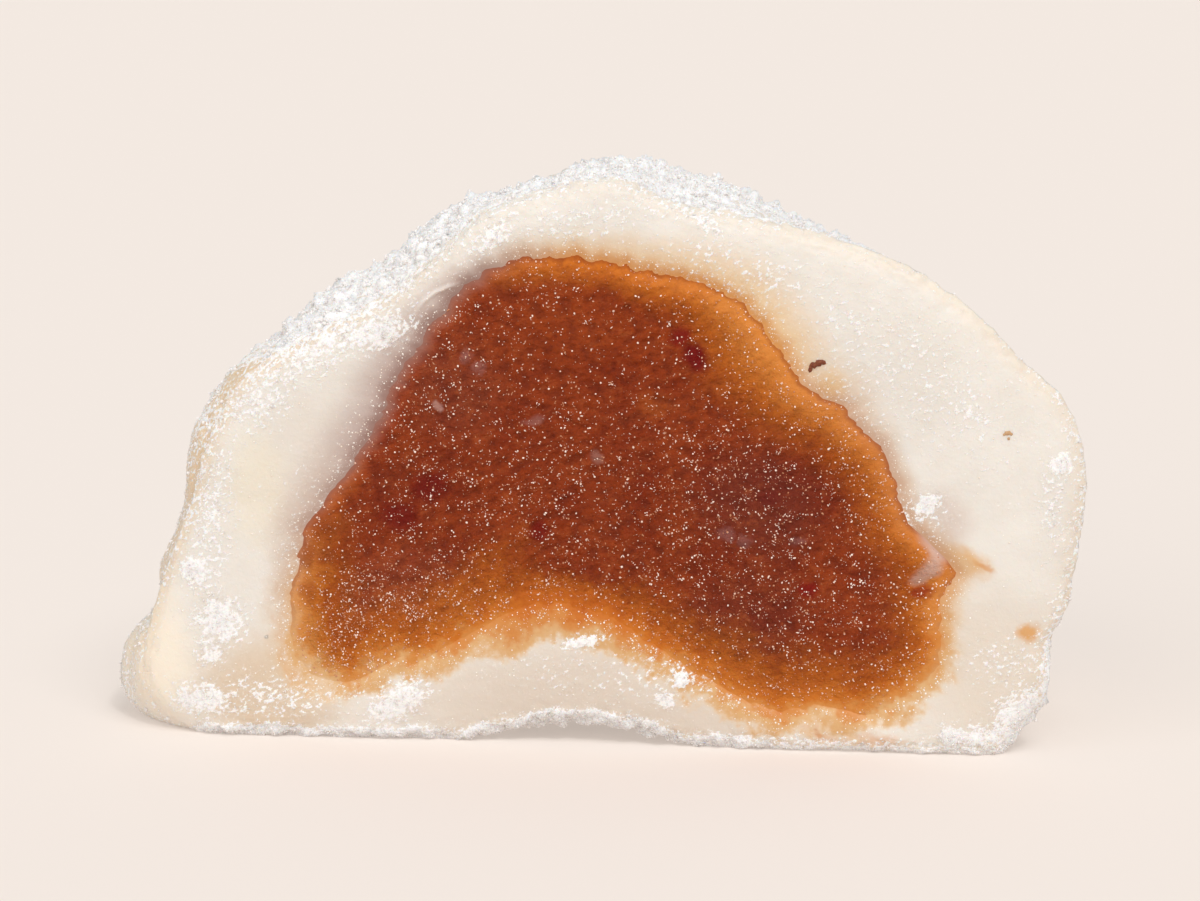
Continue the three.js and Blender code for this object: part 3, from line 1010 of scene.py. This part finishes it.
def starch_cover(tree, place, amount):
    """The lumpy amount of starch, whether any lies there, where it covers, and its thin veil."""
    along_knife = {"Vector": place, "Rotation": (0, -KNIFE_SLOPE, 0), "Scale": (1.15, 0.95, 0.85)}
    along_knife = add(tree, "ShaderNodeMapping", along_knife, vector_type="TEXTURE")
    sheets = {"Vector": along_knife, "Scale": 1 / SHEET_SIZE, "Detail": 6.0, "Roughness": 0.72}
    sheets = add(tree, "ShaderNodeTexNoise", {**sheets, "Distortion": 0.4})
    flecks = {"Vector": along_knife, "Scale": 1 / FLECK_SIZE, "Detail": 4.0, "Roughness": 0.6}
    flecks = add(tree, "ShaderNodeTexNoise", flecks)
    much = add(tree, "ShaderNodeMapRange", {"Value": amount, "From Min": 0.5, "From Max": 0.8})
    crumbs = add(tree, "ShaderNodeMix", {0: much, 2: flecks, 3: sheets}, data_type="FLOAT")
    lumpy = add(tree, "ShaderNodeMath", {0: amount, 1: 0.42, 2: crumbs}, operation="MULTIPLY_ADD")
    has_any = add(tree, "ShaderNodeMapRange", {"Value": amount, "From Min": 0.05, "From Max": 0.2})
    covered = {"Value": lumpy, "From Min": THRESHOLD[0], "From Max": THRESHOLD[1], "To Max": has_any}
    covered = add(tree, "ShaderNodeMapRange", covered, **SMOOTH)
    veil = {"Value": lumpy, "From Min": 0.62, "From Max": 0.75, "To Max": 0.35}
    veil = add(tree, "ShaderNodeMapRange", veil)
    veil = add(tree, "ShaderNodeMath", {0: veil, 1: has_any}, operation="MULTIPLY")
    return lumpy, has_any, covered, veil


# %% [markdown]
# The coats of the dough, from below: clouds and veins of the gel, stains with some painted shade and painted
# light, the halo of the filling with painted shade at the join, the tan skin that is partly painted shade, a
# painted highlight along the lip, and the starch over all of them.

# %% Dough material
CLOUD_SIZE = 5.0
VEIN_SIZE = 1.3
SAND_SIZE = 0.2
SKIN_GRAIN = 0.28


def rice_dough_material():
    """Gel-like warm white dough, with the border's halo, a few stains and the starch over it."""
    material, tree, shader = new_material("steamed_rice_dough")
    place = cake_millimetres(tree)
    marks = border(tree, place, "starch", "lip", "dry", "crevice")
    clouded = add(tree, "ShaderNodeTexNoise", {"Vector": place, "Scale": 1 / CLOUD_SIZE, "Detail": 2.0})
    clouded = add(tree, "ShaderNodeMapRange", {"Value": clouded, "From Min": 0.35, "From Max": 0.65})
    veins = add(tree, "ShaderNodeTexNoise", {"Vector": place, "Scale": 1 / VEIN_SIZE, "Detail": 4.0})
    veins = {"Value": veins, "From Min": 0.45, "From Max": 0.75, "To Max": 0.3}
    veins = add(tree, "ShaderNodeMapRange", veins)
    lumpy, has_any, covered, veil = starch_cover(tree, place, marks["starch"])
    crevice = add(tree, "ShaderNodeMath", {0: marks["crevice"], 1: covered}, operation="MULTIPLY")
    # The white coat along the crest of the lip is a painted highlight.
    lip = add(tree, "ShaderNodeMath", {0: marks["lip"], 1: 0.4}, operation="MULTIPLY")
    sand = add(tree, "ShaderNodeTexNoise", {"Vector": place, "Scale": 1 / SAND_SIZE, "Detail": 3.0})
    sand = {"Value": sand, "From Min": 0.5, "From Max": 0.68, "To Max": covered}
    sand = add(tree, "ShaderNodeMapRange", sand)
    sand = add(tree, "ShaderNodeMath", {0: sand, 1: 0.6}, operation="MULTIPLY")

    coats = [(clouded, "#f0eae1"), (veins, "#f4f0ea")]
    coats += spot_coats(tree, uneven(tree, place, 0.8, 2.0), DOUGH_SPOTS)
    coats += [*halo_coats(tree, marks), faded_coat(tree, marks, 0.8, 0.2)]
    # The tan coat is partly dry skin and partly painted shade on the left flank.
    coats += [(DARKER_THAN_STARCH, "#000000"), (marks["dry"], "#e4c69f"), (lip, "#fffaf4")]
    # The crevice coat is painted shade in the creases between the heaps of starch.
    coats += [(veil, "#f3eee9"), (covered, "#faf8f6"), (sand, "#dcd5d0"), (crevice, "#d6cdc7")]

    # Relief finer than the mesh: a soft skin on the dough, and starch grains where they lie
    grain = {"Vector": place, "Scale": 1 / SKIN_GRAIN, "Detail": 4.0, "Roughness": 0.6}
    grain = add(tree, "ShaderNodeTexNoise", grain)
    relief = add(tree, "ShaderNodeBump", {"Height": grain, "Strength": 0.35, "Distance": 0.00012})
    heap = add(tree, "ShaderNodeMapRange", {"Value": lumpy, "From Min": 0.66, "From Max": 1.0})
    relief = {"Height": heap, "Strength": has_any, "Distance": 0.00006, "Normal": relief}
    soft = {"Value": marks["gap"], "From Min": 0.05, "From Max": 1.0, "To Max": 0.35}
    finish = {
        "Base Color": paint(tree, linear("#eae3d9"), coats),
        "Roughness": add(tree, "ShaderNodeMapRange", {"Value": covered, "To Min": 0.42, "To Max": 0.95}),
        "Normal": add(tree, "ShaderNodeBump", relief),
        "Subsurface Weight": add(tree, "ShaderNodeMapRange", soft),
        "Subsurface Radius": (1.0, 0.7, 0.5),
        "Subsurface Scale": 0.0012,
        "IOR": 1.38,
    }
    connect(tree, shader, finish)
    return material


# %% [markdown]
# ## Sweet bean paste
# Real material: sieved beans with sugar, so fine starch grains in syrup. It is nearly opaque, darker and
# redder where it is thick, amber and clear where it thins out at the border. The syrup gives it a moist
# shine, which breaks up on the torn rows.

# %% Clouds and clots of the filling
PASTE_SPOTS = [
    (9.3, 14.5, 4.2, 3.6, -10, 0.55, "#6e2a22"),
    (8.3, 7.6, 4.6, 3.6, 25, 0.55, "#75291c"),
    (-11.6, 9.2, 4.5, 2.6, 15, 0.55, "#a0492a"),
    (-8.5, 21.0, 3.2, 3.4, 20, 0.45, "#9a4a2c"),
    (-2.0, 24.5, 5.0, 1.8, 10, 0.35, "#9a4218"),
    (1.0, 25.0, 9.0, 3.0, 0, 0.55, "#a8430c"),
    (3.2, 20.2, 1.3, 0.9, 0, 0.55, "#b5581f"),
    (13.9, 4.5, 3.0, 1.6, 10, 0.35, "#a34d18"),
]
# Clots of bean skin, dark places of the left border, and pale smears where the knife dragged a little dough
CLOTS = [
    (5.5, 23.1, 0.75, 1.05, 35, 1.0, "#780c05"),
    (4.6, 24.2, 0.7, 0.6, 0, 0.9, "#861406"),
    (-9.9, 15.2, 1.5, 1.0, 30, 0.85, "#740d04"),
    (-11.6, 13.4, 1.3, 1.0, 0, 0.85, "#760f04"),
    (-3.5, 12.7, 0.7, 0.6, 0, 0.85, "#7c1405"),
    (12.1, 9.6, 0.7, 0.6, 0, 0.9, "#861005"),
    (18.5, 9.6, 0.8, 0.5, 20, 0.7, "#8e1004"),
    (9.8, 15.0, 0.9, 0.6, 20, 0.6, "#701a14"),
    (-16.0, 12.6, 0.8, 1.0, -35, 0.6, "#8a3a0e"),
    (-17.0, 10.9, 0.6, 1.1, 0, 0.6, "#8a3c10"),
    (-17.1, 8.8, 0.5, 0.9, 0, 0.5, "#a04a12"),
    (-15.9, 10.9, 0.6, 0.7, 0, 0.5, "#8c3e1c"),
    (-7.7, 22.9, 0.45, 0.5, 0, 0.40, "#a87a76"),
    (-7.0, 22.2, 0.5, 0.35, 30, 0.35, "#a87a76"),
    (-9.4, 20.0, 0.35, 0.35, 0, 0.7, "#c79a8e"),
    (-3.8, 19.2, 0.8, 0.3, 15, 0.4, "#b08078"),
    (-0.2, 17.2, 0.45, 0.4, 0, 0.45, "#b4887a"),
    (7.3, 12.8, 0.6, 0.35, 10, 0.35, "#a87a76"),
    (8.4, 12.4, 0.5, 0.4, -30, 0.30, "#a87a76"),
    (11.5, 12.5, 0.5, 0.25, 20, 0.30, "#a87a76"),
]
print("clouds and clots in the filling:", len(PASTE_SPOTS), len(CLOTS))

# %% [markdown]
# Towards the join the paste is thin, and light comes through it from the dough behind: first brown, then
# amber, then nearly orange. On the left, where thick dough covers it, it only turns duller. A thin dark line
# follows the join wherever the border is crisp.

# %% Amber border of the filling
def amber_coats(tree, marks, mottled):
    """Coats of the thinner paste near the join, over its thick middle."""
    depth_in = add(tree, "ShaderNodeMath", {0: marks["edge"], 1: -1.0}, operation="MULTIPLY")
    # 0 at the join, 1 where the amber band ends
    ratio = add(tree, "ShaderNodeMath", {0: depth_in, 1: marks["amber"]}, operation="DIVIDE")
    strong = add(tree, "ShaderNodeMath", {0: marks["violet"], 1: 2.0}, operation="POWER")
    not_violet = add(tree, "ShaderNodeMath", {0: 1.0, 1: strong}, operation="SUBTRACT")
    amber = add(tree, "ShaderNodeMapRange", {"Value": ratio, "From Min": 1.1, "From Max": 0.15}, **SMOOTH)
    amber = add(tree, "ShaderNodeMath", {0: amber, 1: not_violet}, operation="MULTIPLY")
    broken = {"Value": mottled, "From Min": 0.36, "From Max": 0.56, "To Min": 0.55}
    broken = add(tree, "ShaderNodeMapRange", broken)
    amber = add(tree, "ShaderNodeMath", {0: amber, 1: broken}, operation="MULTIPLY")
    bright = {"Value": ratio, "From Min": 0.55, "From Max": 0.1, "To Max": 0.7}
    bright = add(tree, "ShaderNodeMapRange", bright, **SMOOTH)
    bright = add(tree, "ShaderNodeMath", {0: bright, 1: not_violet}, operation="MULTIPLY")
    wide = add(tree, "ShaderNodeMapRange", {"Value": marks["amber"], "From Min": 1.8, "From Max": 4.2})
    bright = add(tree, "ShaderNodeMath", {0: bright, 1: wide}, operation="MULTIPLY")
    line = {"Value": depth_in, "From Min": 0.30, "From Max": 0.0, "To Max": 0.6}
    line = add(tree, "ShaderNodeMapRange", line, **SMOOTH)
    crisp = add(tree, "ShaderNodeMath", {0: 1.0, 1: marks["faded"]}, operation="SUBTRACT")
    line = add(tree, "ShaderNodeMath", {0: line, 1: crisp}, operation="MULTIPLY")
    dull = {"Value": depth_in, "From Min": 0.9, "From Max": -0.3, "To Max": strong}
    dull = add(tree, "ShaderNodeMapRange", dull, **SMOOTH)
    coats = [(amber, "#d1711a"), (bright, "#e29040"), faded_coat(tree, marks, -3.0, -1.5)]
    return coats + [(DARKER_THAN_STARCH, "#000000"), (line, "#8a3d12"), (dull, "#987064")]


# %% [markdown]
# The coats of the paste, from below: clouds, mottling along the rows, painted shade in the low places of the
# rows, the amber border, clots of bean skin and the tongue of dough.

# %% Paste material
PASTE_CLOUD_SIZE = 3.5
MOTTLE_SIZE = 0.6
TEAR_SIZE = 0.42
PASTE_GRAIN = 0.16


def bean_paste_material():
    """Reddish brown paste with an amber border, dark clots of bean skin and a moist shine."""
    material, tree, shader = new_material("sweet_bean_paste")
    place = cake_millimetres(tree)
    marks = border(tree, place, "relief", "tongue")
    along_rows = {"Vector": place, "Rotation": (0, -ROW_SLOPE, 0), "Scale": (1.2, 1, 0.9)}
    along_rows = add(tree, "ShaderNodeMapping", along_rows, vector_type="TEXTURE")
    clouded = {"Vector": place, "Scale": 1 / PASTE_CLOUD_SIZE, "Detail": 3.0}
    clouded = add(tree, "ShaderNodeTexNoise", clouded)
    clouded = add(tree, "ShaderNodeMapRange", {"Value": clouded, "From Min": 0.35, "From Max": 0.68})
    mottled = {"Vector": along_rows, "Scale": 1 / MOTTLE_SIZE, "Detail": 6.0, "Roughness": 0.7}
    mottled = add(tree, "ShaderNodeTexNoise", mottled)
    darker = {"Value": mottled, "From Min": 0.50, "From Max": 0.30, "To Max": 0.45}
    lighter = {"Value": mottled, "From Min": 0.55, "From Max": 0.75, "To Max": 0.5}
    # The groove coat darkens the low places of the torn relief: painted shade
    groove_shade = {"Value": marks["relief"], "From Min": 0.5, "From Max": 0.1, "To Max": 0.4}
    darker, lighter, groove_shade = (add(tree, "ShaderNodeMapRange", share) for share in (darker, lighter, groove_shade))

    spotted = uneven(tree, place, 1.0, 3.0)
    coats = [(clouded, "#a34213"), *spot_coats(tree, spotted, PASTE_SPOTS)]
    coats += [(darker, "#6c1e0c"), (lighter, "#c46835"), (groove_shade, "#6a2010")]
    coats += amber_coats(tree, marks, mottled)
    coats += [*spot_coats(tree, spotted, CLOTS), (marks["tongue"], "#cbb2a7")]

    torn = {"Vector": along_rows, "Scale": 1 / TEAR_SIZE, "Detail": 3.0, "Roughness": 0.6}
    torn = add(tree, "ShaderNodeTexNoise", torn)
    grain = {"Vector": place, "Scale": 1 / PASTE_GRAIN, "Detail": 4.0, "Roughness": 0.7}
    grain = add(tree, "ShaderNodeTexNoise", grain)
    strength = {"Value": marks["gap"], "From Min": 0.1, "From Max": 1.4, "To Min": 0.2, "To Max": 0.85}
    strength = add(tree, "ShaderNodeMapRange", strength)
    relief = add(tree, "ShaderNodeBump", {"Height": torn, "Strength": strength, "Distance": 0.0004})
    relief = {"Height": grain, "Strength": strength, "Distance": 0.00020, "Normal": relief}
    soft = {"Value": marks["gap"], "From Min": 0.05, "From Max": 1.0, "To Max": 0.25}
    finish = {
        "Base Color": paint(tree, linear("#8c2e07"), coats),
        "Normal": add(tree, "ShaderNodeBump", relief),
        "Roughness": 0.34,
        "IOR": 1.42,
        "Specular IOR Level": 0.22,
        "Subsurface Weight": add(tree, "ShaderNodeMapRange", soft),
        "Subsurface Radius": (1.0, 0.5, 0.25),
        "Subsurface Scale": 0.0008,
    }
    connect(tree, shader, finish)
    return material


# %% Dress the two bodies
rice_dough = new_piece("rice_dough_soft", dough_mesh, rice_dough_material())
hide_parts("rice_dough")
bean_paste = new_piece("bean_paste_moist", paste_mesh, bean_paste_material())
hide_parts("bean_paste")

# %% [markdown]
# ## Scattered grains
# Starch clings as thousands of tiny crumbs, and moisture stands on the paste in thousands of beads. Both are
# the same task: spread small shapes over a surface, more of them where a stored number is high. Geometry
# Nodes do that. The tree below takes the number's name, the density, the sizes and the seed as inputs.

# %% Scatter tree
SCATTER_INPUTS = [
    ("Geometry", "NodeSocketGeometry", None),
    ("Amount", "NodeSocketString", "starch"),
    ("Density", "NodeSocketFloat", 1.0),
    ("Smallest", "NodeSocketFloat", 0.0001),
    ("Largest", "NodeSocketFloat", 0.0002),
    ("Shape", "NodeSocketVector", (1.0, 1.0, 1.0)),
    ("Free turn", "NodeSocketVector", (1.0, 1.0, 1.0)),
    ("Rounded", "NodeSocketBool", False),
    ("Seed", "NodeSocketInt", 0),
    ("Material", "NodeSocketMaterial", None),
]


def scatter_tree():
    """Small rounded shapes spread over a surface by a stored number, joined into one mesh."""
    tree = bpy.data.node_groups.new("scatter_grains", "GeometryNodeTree")
    for name, kind, value in SCATTER_INPUTS:
        socket = tree.interface.new_socket(name, in_out="INPUT", socket_type=kind)
        if value is not None:
            socket.default_value = value
    tree.interface.new_socket("Geometry", in_out="OUTPUT", socket_type="NodeSocketGeometry")
    given = add(tree, "NodeGroupInput").node.outputs
    amount = {"Name": given["Amount"]}
    amount = add(tree, "GeometryNodeInputNamedAttribute", amount, out="Attribute", data_type="FLOAT")
    density = add(tree, "ShaderNodeMath", {0: amount, 1: given["Density"]}, operation="MULTIPLY")
    points = {"Mesh": given["Geometry"], "Density": density, "Seed": given["Seed"]}
    points = add(tree, "GeometryNodeDistributePointsOnFaces", points, distribute_method="RANDOM")
    upright = points.node.outputs["Rotation"]
    # The cube of an even draw makes small grains the common ones
    draw = {2: 0.0, 3: 1.0, "Seed": given["Seed"]}
    draw = add(tree, "FunctionNodeRandomValue", draw, out=1, data_type="FLOAT")
    draw = add(tree, "ShaderNodeMath", {0: draw, 1: 3.0}, operation="POWER")
    size = {"Value": draw, "To Min": given["Smallest"], "To Max": given["Largest"]}
    size = add(tree, "ShaderNodeMapRange", size)
    size = add(tree, "ShaderNodeVectorMath", {0: given["Shape"], "Scale": size}, operation="SCALE")
    grain = add(tree, "GeometryNodeMeshIcoSphere", {"Radius": 1.0, "Subdivisions": 1})
    turn = {0: (-math.pi,) * 3, 1: (math.pi,) * 3, "Seed": given["Seed"]}
    turn = add(tree, "FunctionNodeRandomValue", turn, data_type="FLOAT_VECTOR")
    turn = add(tree, "ShaderNodeVectorMath", {0: turn, 1: given["Free turn"]}, operation="MULTIPLY")
    placed = {"Points": points, "Instance": grain, "Rotation": upright, "Scale": size}
    placed = add(tree, "GeometryNodeInstanceOnPoints", placed)
    placed = add(tree, "GeometryNodeRotateInstances", {"Instances": placed, "Rotation": turn})
    mesh = add(tree, "GeometryNodeRealizeInstances", {"Geometry": placed})
    mesh = add(tree, "GeometryNodeSetShadeSmooth", {"Geometry": mesh, "Shade Smooth": given["Rounded"]})
    mesh = add(tree, "GeometryNodeSetMaterial", {"Geometry": mesh, "Material": given["Material"]})
    add(tree, "NodeGroupOutput", {"Geometry": mesh})
    return tree


# %% [markdown]
# The number of grains that is asked for is turned into a density, by the area of the surface weighted with
# the stored number. The result is a plain mesh that rides with the cake like any other piece.

# %% Scatter
def surface_amount(mesh, name):
    """Area of a mesh in square metres, weighted by a stored number."""
    values = np.zeros(len(mesh.vertices), np.float32)
    mesh.attributes[name].data.foreach_get("value", values)
    areas = np.zeros(len(mesh.polygons), np.float32)
    mesh.polygons.foreach_get("area", areas)
    firsts = np.zeros(len(mesh.polygons), np.int32)
    mesh.polygons.foreach_get("loop_start", firsts)
    corners = np.zeros(len(mesh.loops), np.int32)
    mesh.loops.foreach_get("vertex_index", corners)
    return float((areas * np.clip(values[corners[firsts]], 0, None)).sum())


GRAINS = scatter_tree()


def scatter(name, over, amount, count, material, slot, **inputs):
    """Spreads about count grains over a piece and turns them into a plain mesh piece of their own."""
    carrier = bpy.data.objects.new(name + "_carrier", over.data)
    bpy.context.scene.collection.objects.link(carrier)
    modifier = carrier.modifiers.new("scatter", "NODES")
    modifier.node_group = GRAINS
    sockets = {s.name: s.identifier for s in GRAINS.interface.items_tree if s.in_out == "INPUT"}
    inputs = {"Amount": amount, "Density": count / surface_amount(over.data, amount), **inputs}
    for key, value in inputs.items():
        modifier[sockets[key]] = value
    modifier[sockets["Material"]] = material
    carrier.update_tag()
    graph = bpy.context.evaluated_depsgraph_get()
    mesh = bpy.data.meshes.new_from_object(carrier.evaluated_get(graph), depsgraph=graph)
    bpy.data.objects.remove(carrier)
    mesh.name = name
    return new_piece(name, mesh, material)


# %% [markdown]
# ## Starch crumbs
# Potato or corn starch is white with a cold cast next to the dough. The crumbs stand up to a fifth of a
# millimetre proud, which roughens the outline. Those on the cut are finer, because the knife spread them.

# %% Starch pieces
def two_tones(tree, size, detail, low, high, under, over):
    """A colour that turns into another where fine noise rises from low to high."""
    grain = {"Vector": cake_millimetres(tree), "Scale": 1 / size, "Detail": detail}
    grain = add(tree, "ShaderNodeTexNoise", grain)
    share = add(tree, "ShaderNodeMapRange", {"Value": grain, "From Min": low, "From Max": high})
    return paint(tree, linear(under), [(share, over)])


def starch_material():
    """Dry powder: fully rough, nearly white, with a little light passing through each crumb."""
    material, tree, shader = new_material("dry_starch_powder")
    finish = {
        "Base Color": two_tones(tree, 0.5, 2.0, 0.35, 0.7, "#f4efec", "#ded6d1"),
        "Subsurface Weight": 0.4,
        "Subsurface Radius": (1.0, 0.9, 0.8),
        "Subsurface Scale": 0.0003,
        "Roughness": 0.9,
        "IOR": 1.3,
    }
    connect(tree, shader, finish)
    return material


powder = starch_material()
store(
    dough_mesh,
    dusting=some_starch**1.6 * on_skin * ease(0.2, 0.7, dough_z) * (0.3 + 0.7 * near_cut),
    crumbs=np.clip(starch - 0.35, 0, 1) * (1 + 2 * in_crust) * on_cut * ease(0.08, 0.15, dough_z),
    damp=on_cut * (0.07 + ease(1.6, 0.0, dough_edge)) * ease(0.05, 0.2, dough_edge),
)
LOOSE = {"Smallest": 0.00005, "Largest": 0.00021, "Shape": (1.0, 0.8, 0.6), "Seed": 11}
SPREAD_BY_KNIFE = {"Smallest": 0.00002, "Largest": 0.00010, "Shape": (1.3, 0.9, 0.5), "Seed": 12}
scatter("starch_dusting", rice_dough, "dusting", 9500, powder, "rice_dough", **LOOSE)
scatter("starch_crumbs_on_cut", rice_dough, "crumbs", 8000, powder, "rice_dough", **SPREAD_BY_KNIFE)

# %% [markdown]
# ## Specks of bran
# Three dark crumbs were caught in the dough: a hooked one beside the filling and a small pair on the right.
# Each is a short bent thread, thick in the middle and pointed at its ends, half sunk in the dough.

# %% Bran specks
HOOK = [(12.0, 22.3), (12.1, 22.7), (12.4, 22.82), (12.7, 23.0), (12.95, 22.85)]
SPECKS = [
    {"line": HOOK, "width": 0.36, "tone": 0},
    {"line": [(23.05, 18.95), (23.32, 19.12), (23.62, 18.98)], "width": 0.24, "tone": 1},
    {"line": [(23.3, 18.8), (23.45, 18.72)], "width": 0.18, "tone": 1},
]
SPECK_STEPS = 18
SPECK_SIDES = 8
SPECK_FLATNESS = 0.45  # thickness of a speck as a share of its width
OUT_OF_REACH = 1e6  # where points that aren't on the cut go, so that no search finds them

off_cut = ~on_cut[:, None] * OUT_OF_REACH
cut_tree = line_tree(dough_points * (1, 0, 1) * on_cut[:, None] + off_cut)


def speck_rings(speck):
    """Rings of one speck along its bent line, in cake millimetres."""
    corners = np.array(speck["line"])
    share = np.linspace(0, 1, SPECK_STEPS)
    at = share * (len(corners) - 1)
    x = np.interp(at, range(len(corners)), corners[:, 0])
    z = np.interp(at, range(len(corners)), corners[:, 1])
    aside = np.stack([-np.gradient(z), np.gradient(x)], axis=1)
    aside /= np.hypot(*aside.T)[:, None]
    radius = speck["width"] / 2 * (np.clip(np.sin(math.pi * share), 0, 1) ** 0.5 + 0.02)
    radius = radius * (1 + 0.25 * np.sin(share * 23))
    turn = np.arange(SPECK_SIDES) / SPECK_SIDES * 2 * math.pi
    rings = []
    for step in range(SPECK_STEPS):
        _, nearest, _ = cut_tree.find((x[step], 0, z[step]))
        ring_x = x[step] + aside[step, 0] * radius[step] * np.cos(turn)
        ring_y = dough_points[nearest, 1] - SPECK_FLATNESS * radius[step] * np.sin(turn)
        ring_z = z[step] + aside[step, 1] * radius[step] * np.cos(turn)
        rings.append(np.stack([ring_x, ring_y, ring_z], axis=1))
    return np.array(rings)


def bran_material():
    """Dry bran and bean skin: dull brown, darker on the hooked speck."""
    material, tree, shader = new_material("dry_bran")
    tone = add(tree, "ShaderNodeAttribute", out="Fac", attribute_name="tone")
    brown = two_tones(tree, 0.12, 3.0, 0.4, 0.7, "#6a2a10", "#8a4a22")
    connect(tree, shader, {"Base Color": paint(tree, brown, [(tone, "#c29a72")]), "Roughness": 0.6})
    return material


specks, tones = [], []
for speck in SPECKS:
    rings = speck_rings(speck)
    first, last = (np.tile(ring.mean(axis=0), (1, SPECK_SIDES, 1)) for ring in (rings[0], rings[-1]))
    rings = np.concatenate([first, rings, last])
    specks.append(closed_mesh("speck", ring_points(rings), SPECK_SIDES, len(rings)))
    tones += [speck["tone"]] * len(specks[-1].vertices)
joined = bmesh.new()
for part in specks:
    joined.from_mesh(part)
bran_mesh = bpy.data.meshes.new("bran_specks")
joined.to_mesh(bran_mesh)
joined.free()
bran_mesh.polygons.foreach_set("use_smooth", np.ones(len(bran_mesh.polygons), bool))
store(bran_mesh, tone=tones)
new_piece("bran_specks", bran_mesh, bran_material())

# %% [markdown]
# ## Beads of moisture
# The shine of the paste comes in points: tiny beads of syrup. They are real beads, flattened against the
# paste, since a bump map would give them only in the picture's own light. Each is too small to show a
# highlight of its own, so the near white in its colour is a painted highlight.

# %% Moisture pieces
def syrup_material(name, dark, light):
    """Sugar syrup, very smooth, painted from a tint of what lies under it to near white, which is a painted
    highlight.
    """
    material, tree, shader = new_material(name)
    colour = two_tones(tree, 0.4, 1.0, 0.4, 0.6, dark, light)
    connect(tree, shader, {"Base Color": colour, "Roughness": 0.15, "IOR": 1.48})
    return material


# The light tone of each bead is near white: a painted highlight for its glint
syrup_glint = syrup_material("syrup_bead_painted_glint", "#c98a66", "#ffeadc")
water_glint_on_dough = syrup_material("water_bead_painted_glint", "#efe2d2", "#fffaf2")
BEADS = {"Smallest": 0.000016, "Largest": 0.000084, "Shape": (1.0, 1.0, 0.7), "Seed": 21}
STREAKS = {"Smallest": 0.000018, "Largest": 0.000048, "Shape": (2.4, 0.8, 0.6), "Seed": 22}
FINE_BEADS = {"Smallest": 0.000016, "Largest": 0.000065, "Shape": (1.0, 1.0, 0.6), "Seed": 23}
for settings in (STREAKS, FINE_BEADS):
    settings["Free turn"] = (0.0, 0.0, 1.0)  # these lie flat
for settings in (BEADS, STREAKS, FINE_BEADS):
    settings["Rounded"] = True
scatter("moisture_beads_on_paste", bean_paste, "wet", 7800, syrup_glint, "bean_paste", **BEADS)
scatter("moisture_streaks_on_paste", bean_paste, "wet", 2600, syrup_glint, "bean_paste", **STREAKS)
scatter("moisture_beads_on_dough", rice_dough, "damp", 3800, water_glint_on_dough, "rice_dough", **FINE_BEADS)

# %% [markdown]
# ## The table and the light
# A plain pale table, a broad soft light from the upper right and an even surround keep the shadows faint.
# Lamps at a real distance would leave a bright pool on the table, so the lights are suns, which light every
# place alike: a wide key, a wide fill from the left, and a narrow one for the glints. The table also glows a
# little, as a light table does, which thins the shadow.

# %% Floor, world and lights
FLOOR_COLOUR = "#f2e8e0"
FLOOR_GLOW = 0.35
FLOOR_HALF = 3.0  # metres from the middle of the floor to its sides


def plain_floor():
    """A large flat floor in a plain pale finish."""
    half = FLOOR_HALF
    corners = [(-half, -half, 0), (half, -half, 0), (half, half, 0), (-half, half, 0)]
    mesh = bpy.data.meshes.new("floor")
    mesh.from_pydata(corners, [], [(0, 1, 2, 3)])
    floor = bpy.data.objects.new("floor", mesh)
    bpy.context.scene.collection.objects.link(floor)
    material, tree, shader = new_material("plain_pale_floor")
    pale = linear(FLOOR_COLOUR)
    finish = {
        "Base Color": tuple(c * (1 - FLOOR_GLOW) for c in pale[:3]) + (1,),
        "Roughness": 1.0,
        "Specular IOR Level": 0.0,
        "Emission Color": pale,
        "Emission Strength": FLOOR_GLOW,
    }
    connect(tree, shader, finish)
    mesh.materials.append(material)


def sun(name, azimuth, elevation, spread, strength, colour):
    """An even light from one side; spread is the angle that the light covers in the sky."""
    data = bpy.data.lights.new(name, "SUN")
    data.energy = strength * math.pi
    data.angle = math.radians(spread)
    data.color = linear(colour)[:3]
    lamp = bpy.data.objects.new(name, data)
    a, e = math.radians(azimuth), math.radians(elevation)
    out = Vector((math.sin(a) * math.cos(e), -math.cos(a) * math.cos(e), math.sin(e)))
    lamp.location = out
    lamp.rotation_euler = out.to_track_quat("Z", "Y").to_euler()
    bpy.context.scene.collection.objects.link(lamp)


plain_floor()
sun("key", azimuth=32, elevation=55, spread=35, strength=0.42, colour="#ffffff")
sun("glint", azimuth=25, elevation=48, spread=5, strength=0.15, colour="#ffffff")
sun("fill", azimuth=-35, elevation=28, spread=60, strength=0.24, colour="#ffffff")
world = bpy.data.worlds.new("surround")
world.use_nodes = True
surround = {"Color": linear("#ffffff"), "Strength": 0.45}
connect(world.node_tree, world.node_tree.nodes["Background"], surround)
bpy.context.scene.world = world
bpy.context.scene.view_settings.view_transform = "Standard"
print("lights and floor are in place")
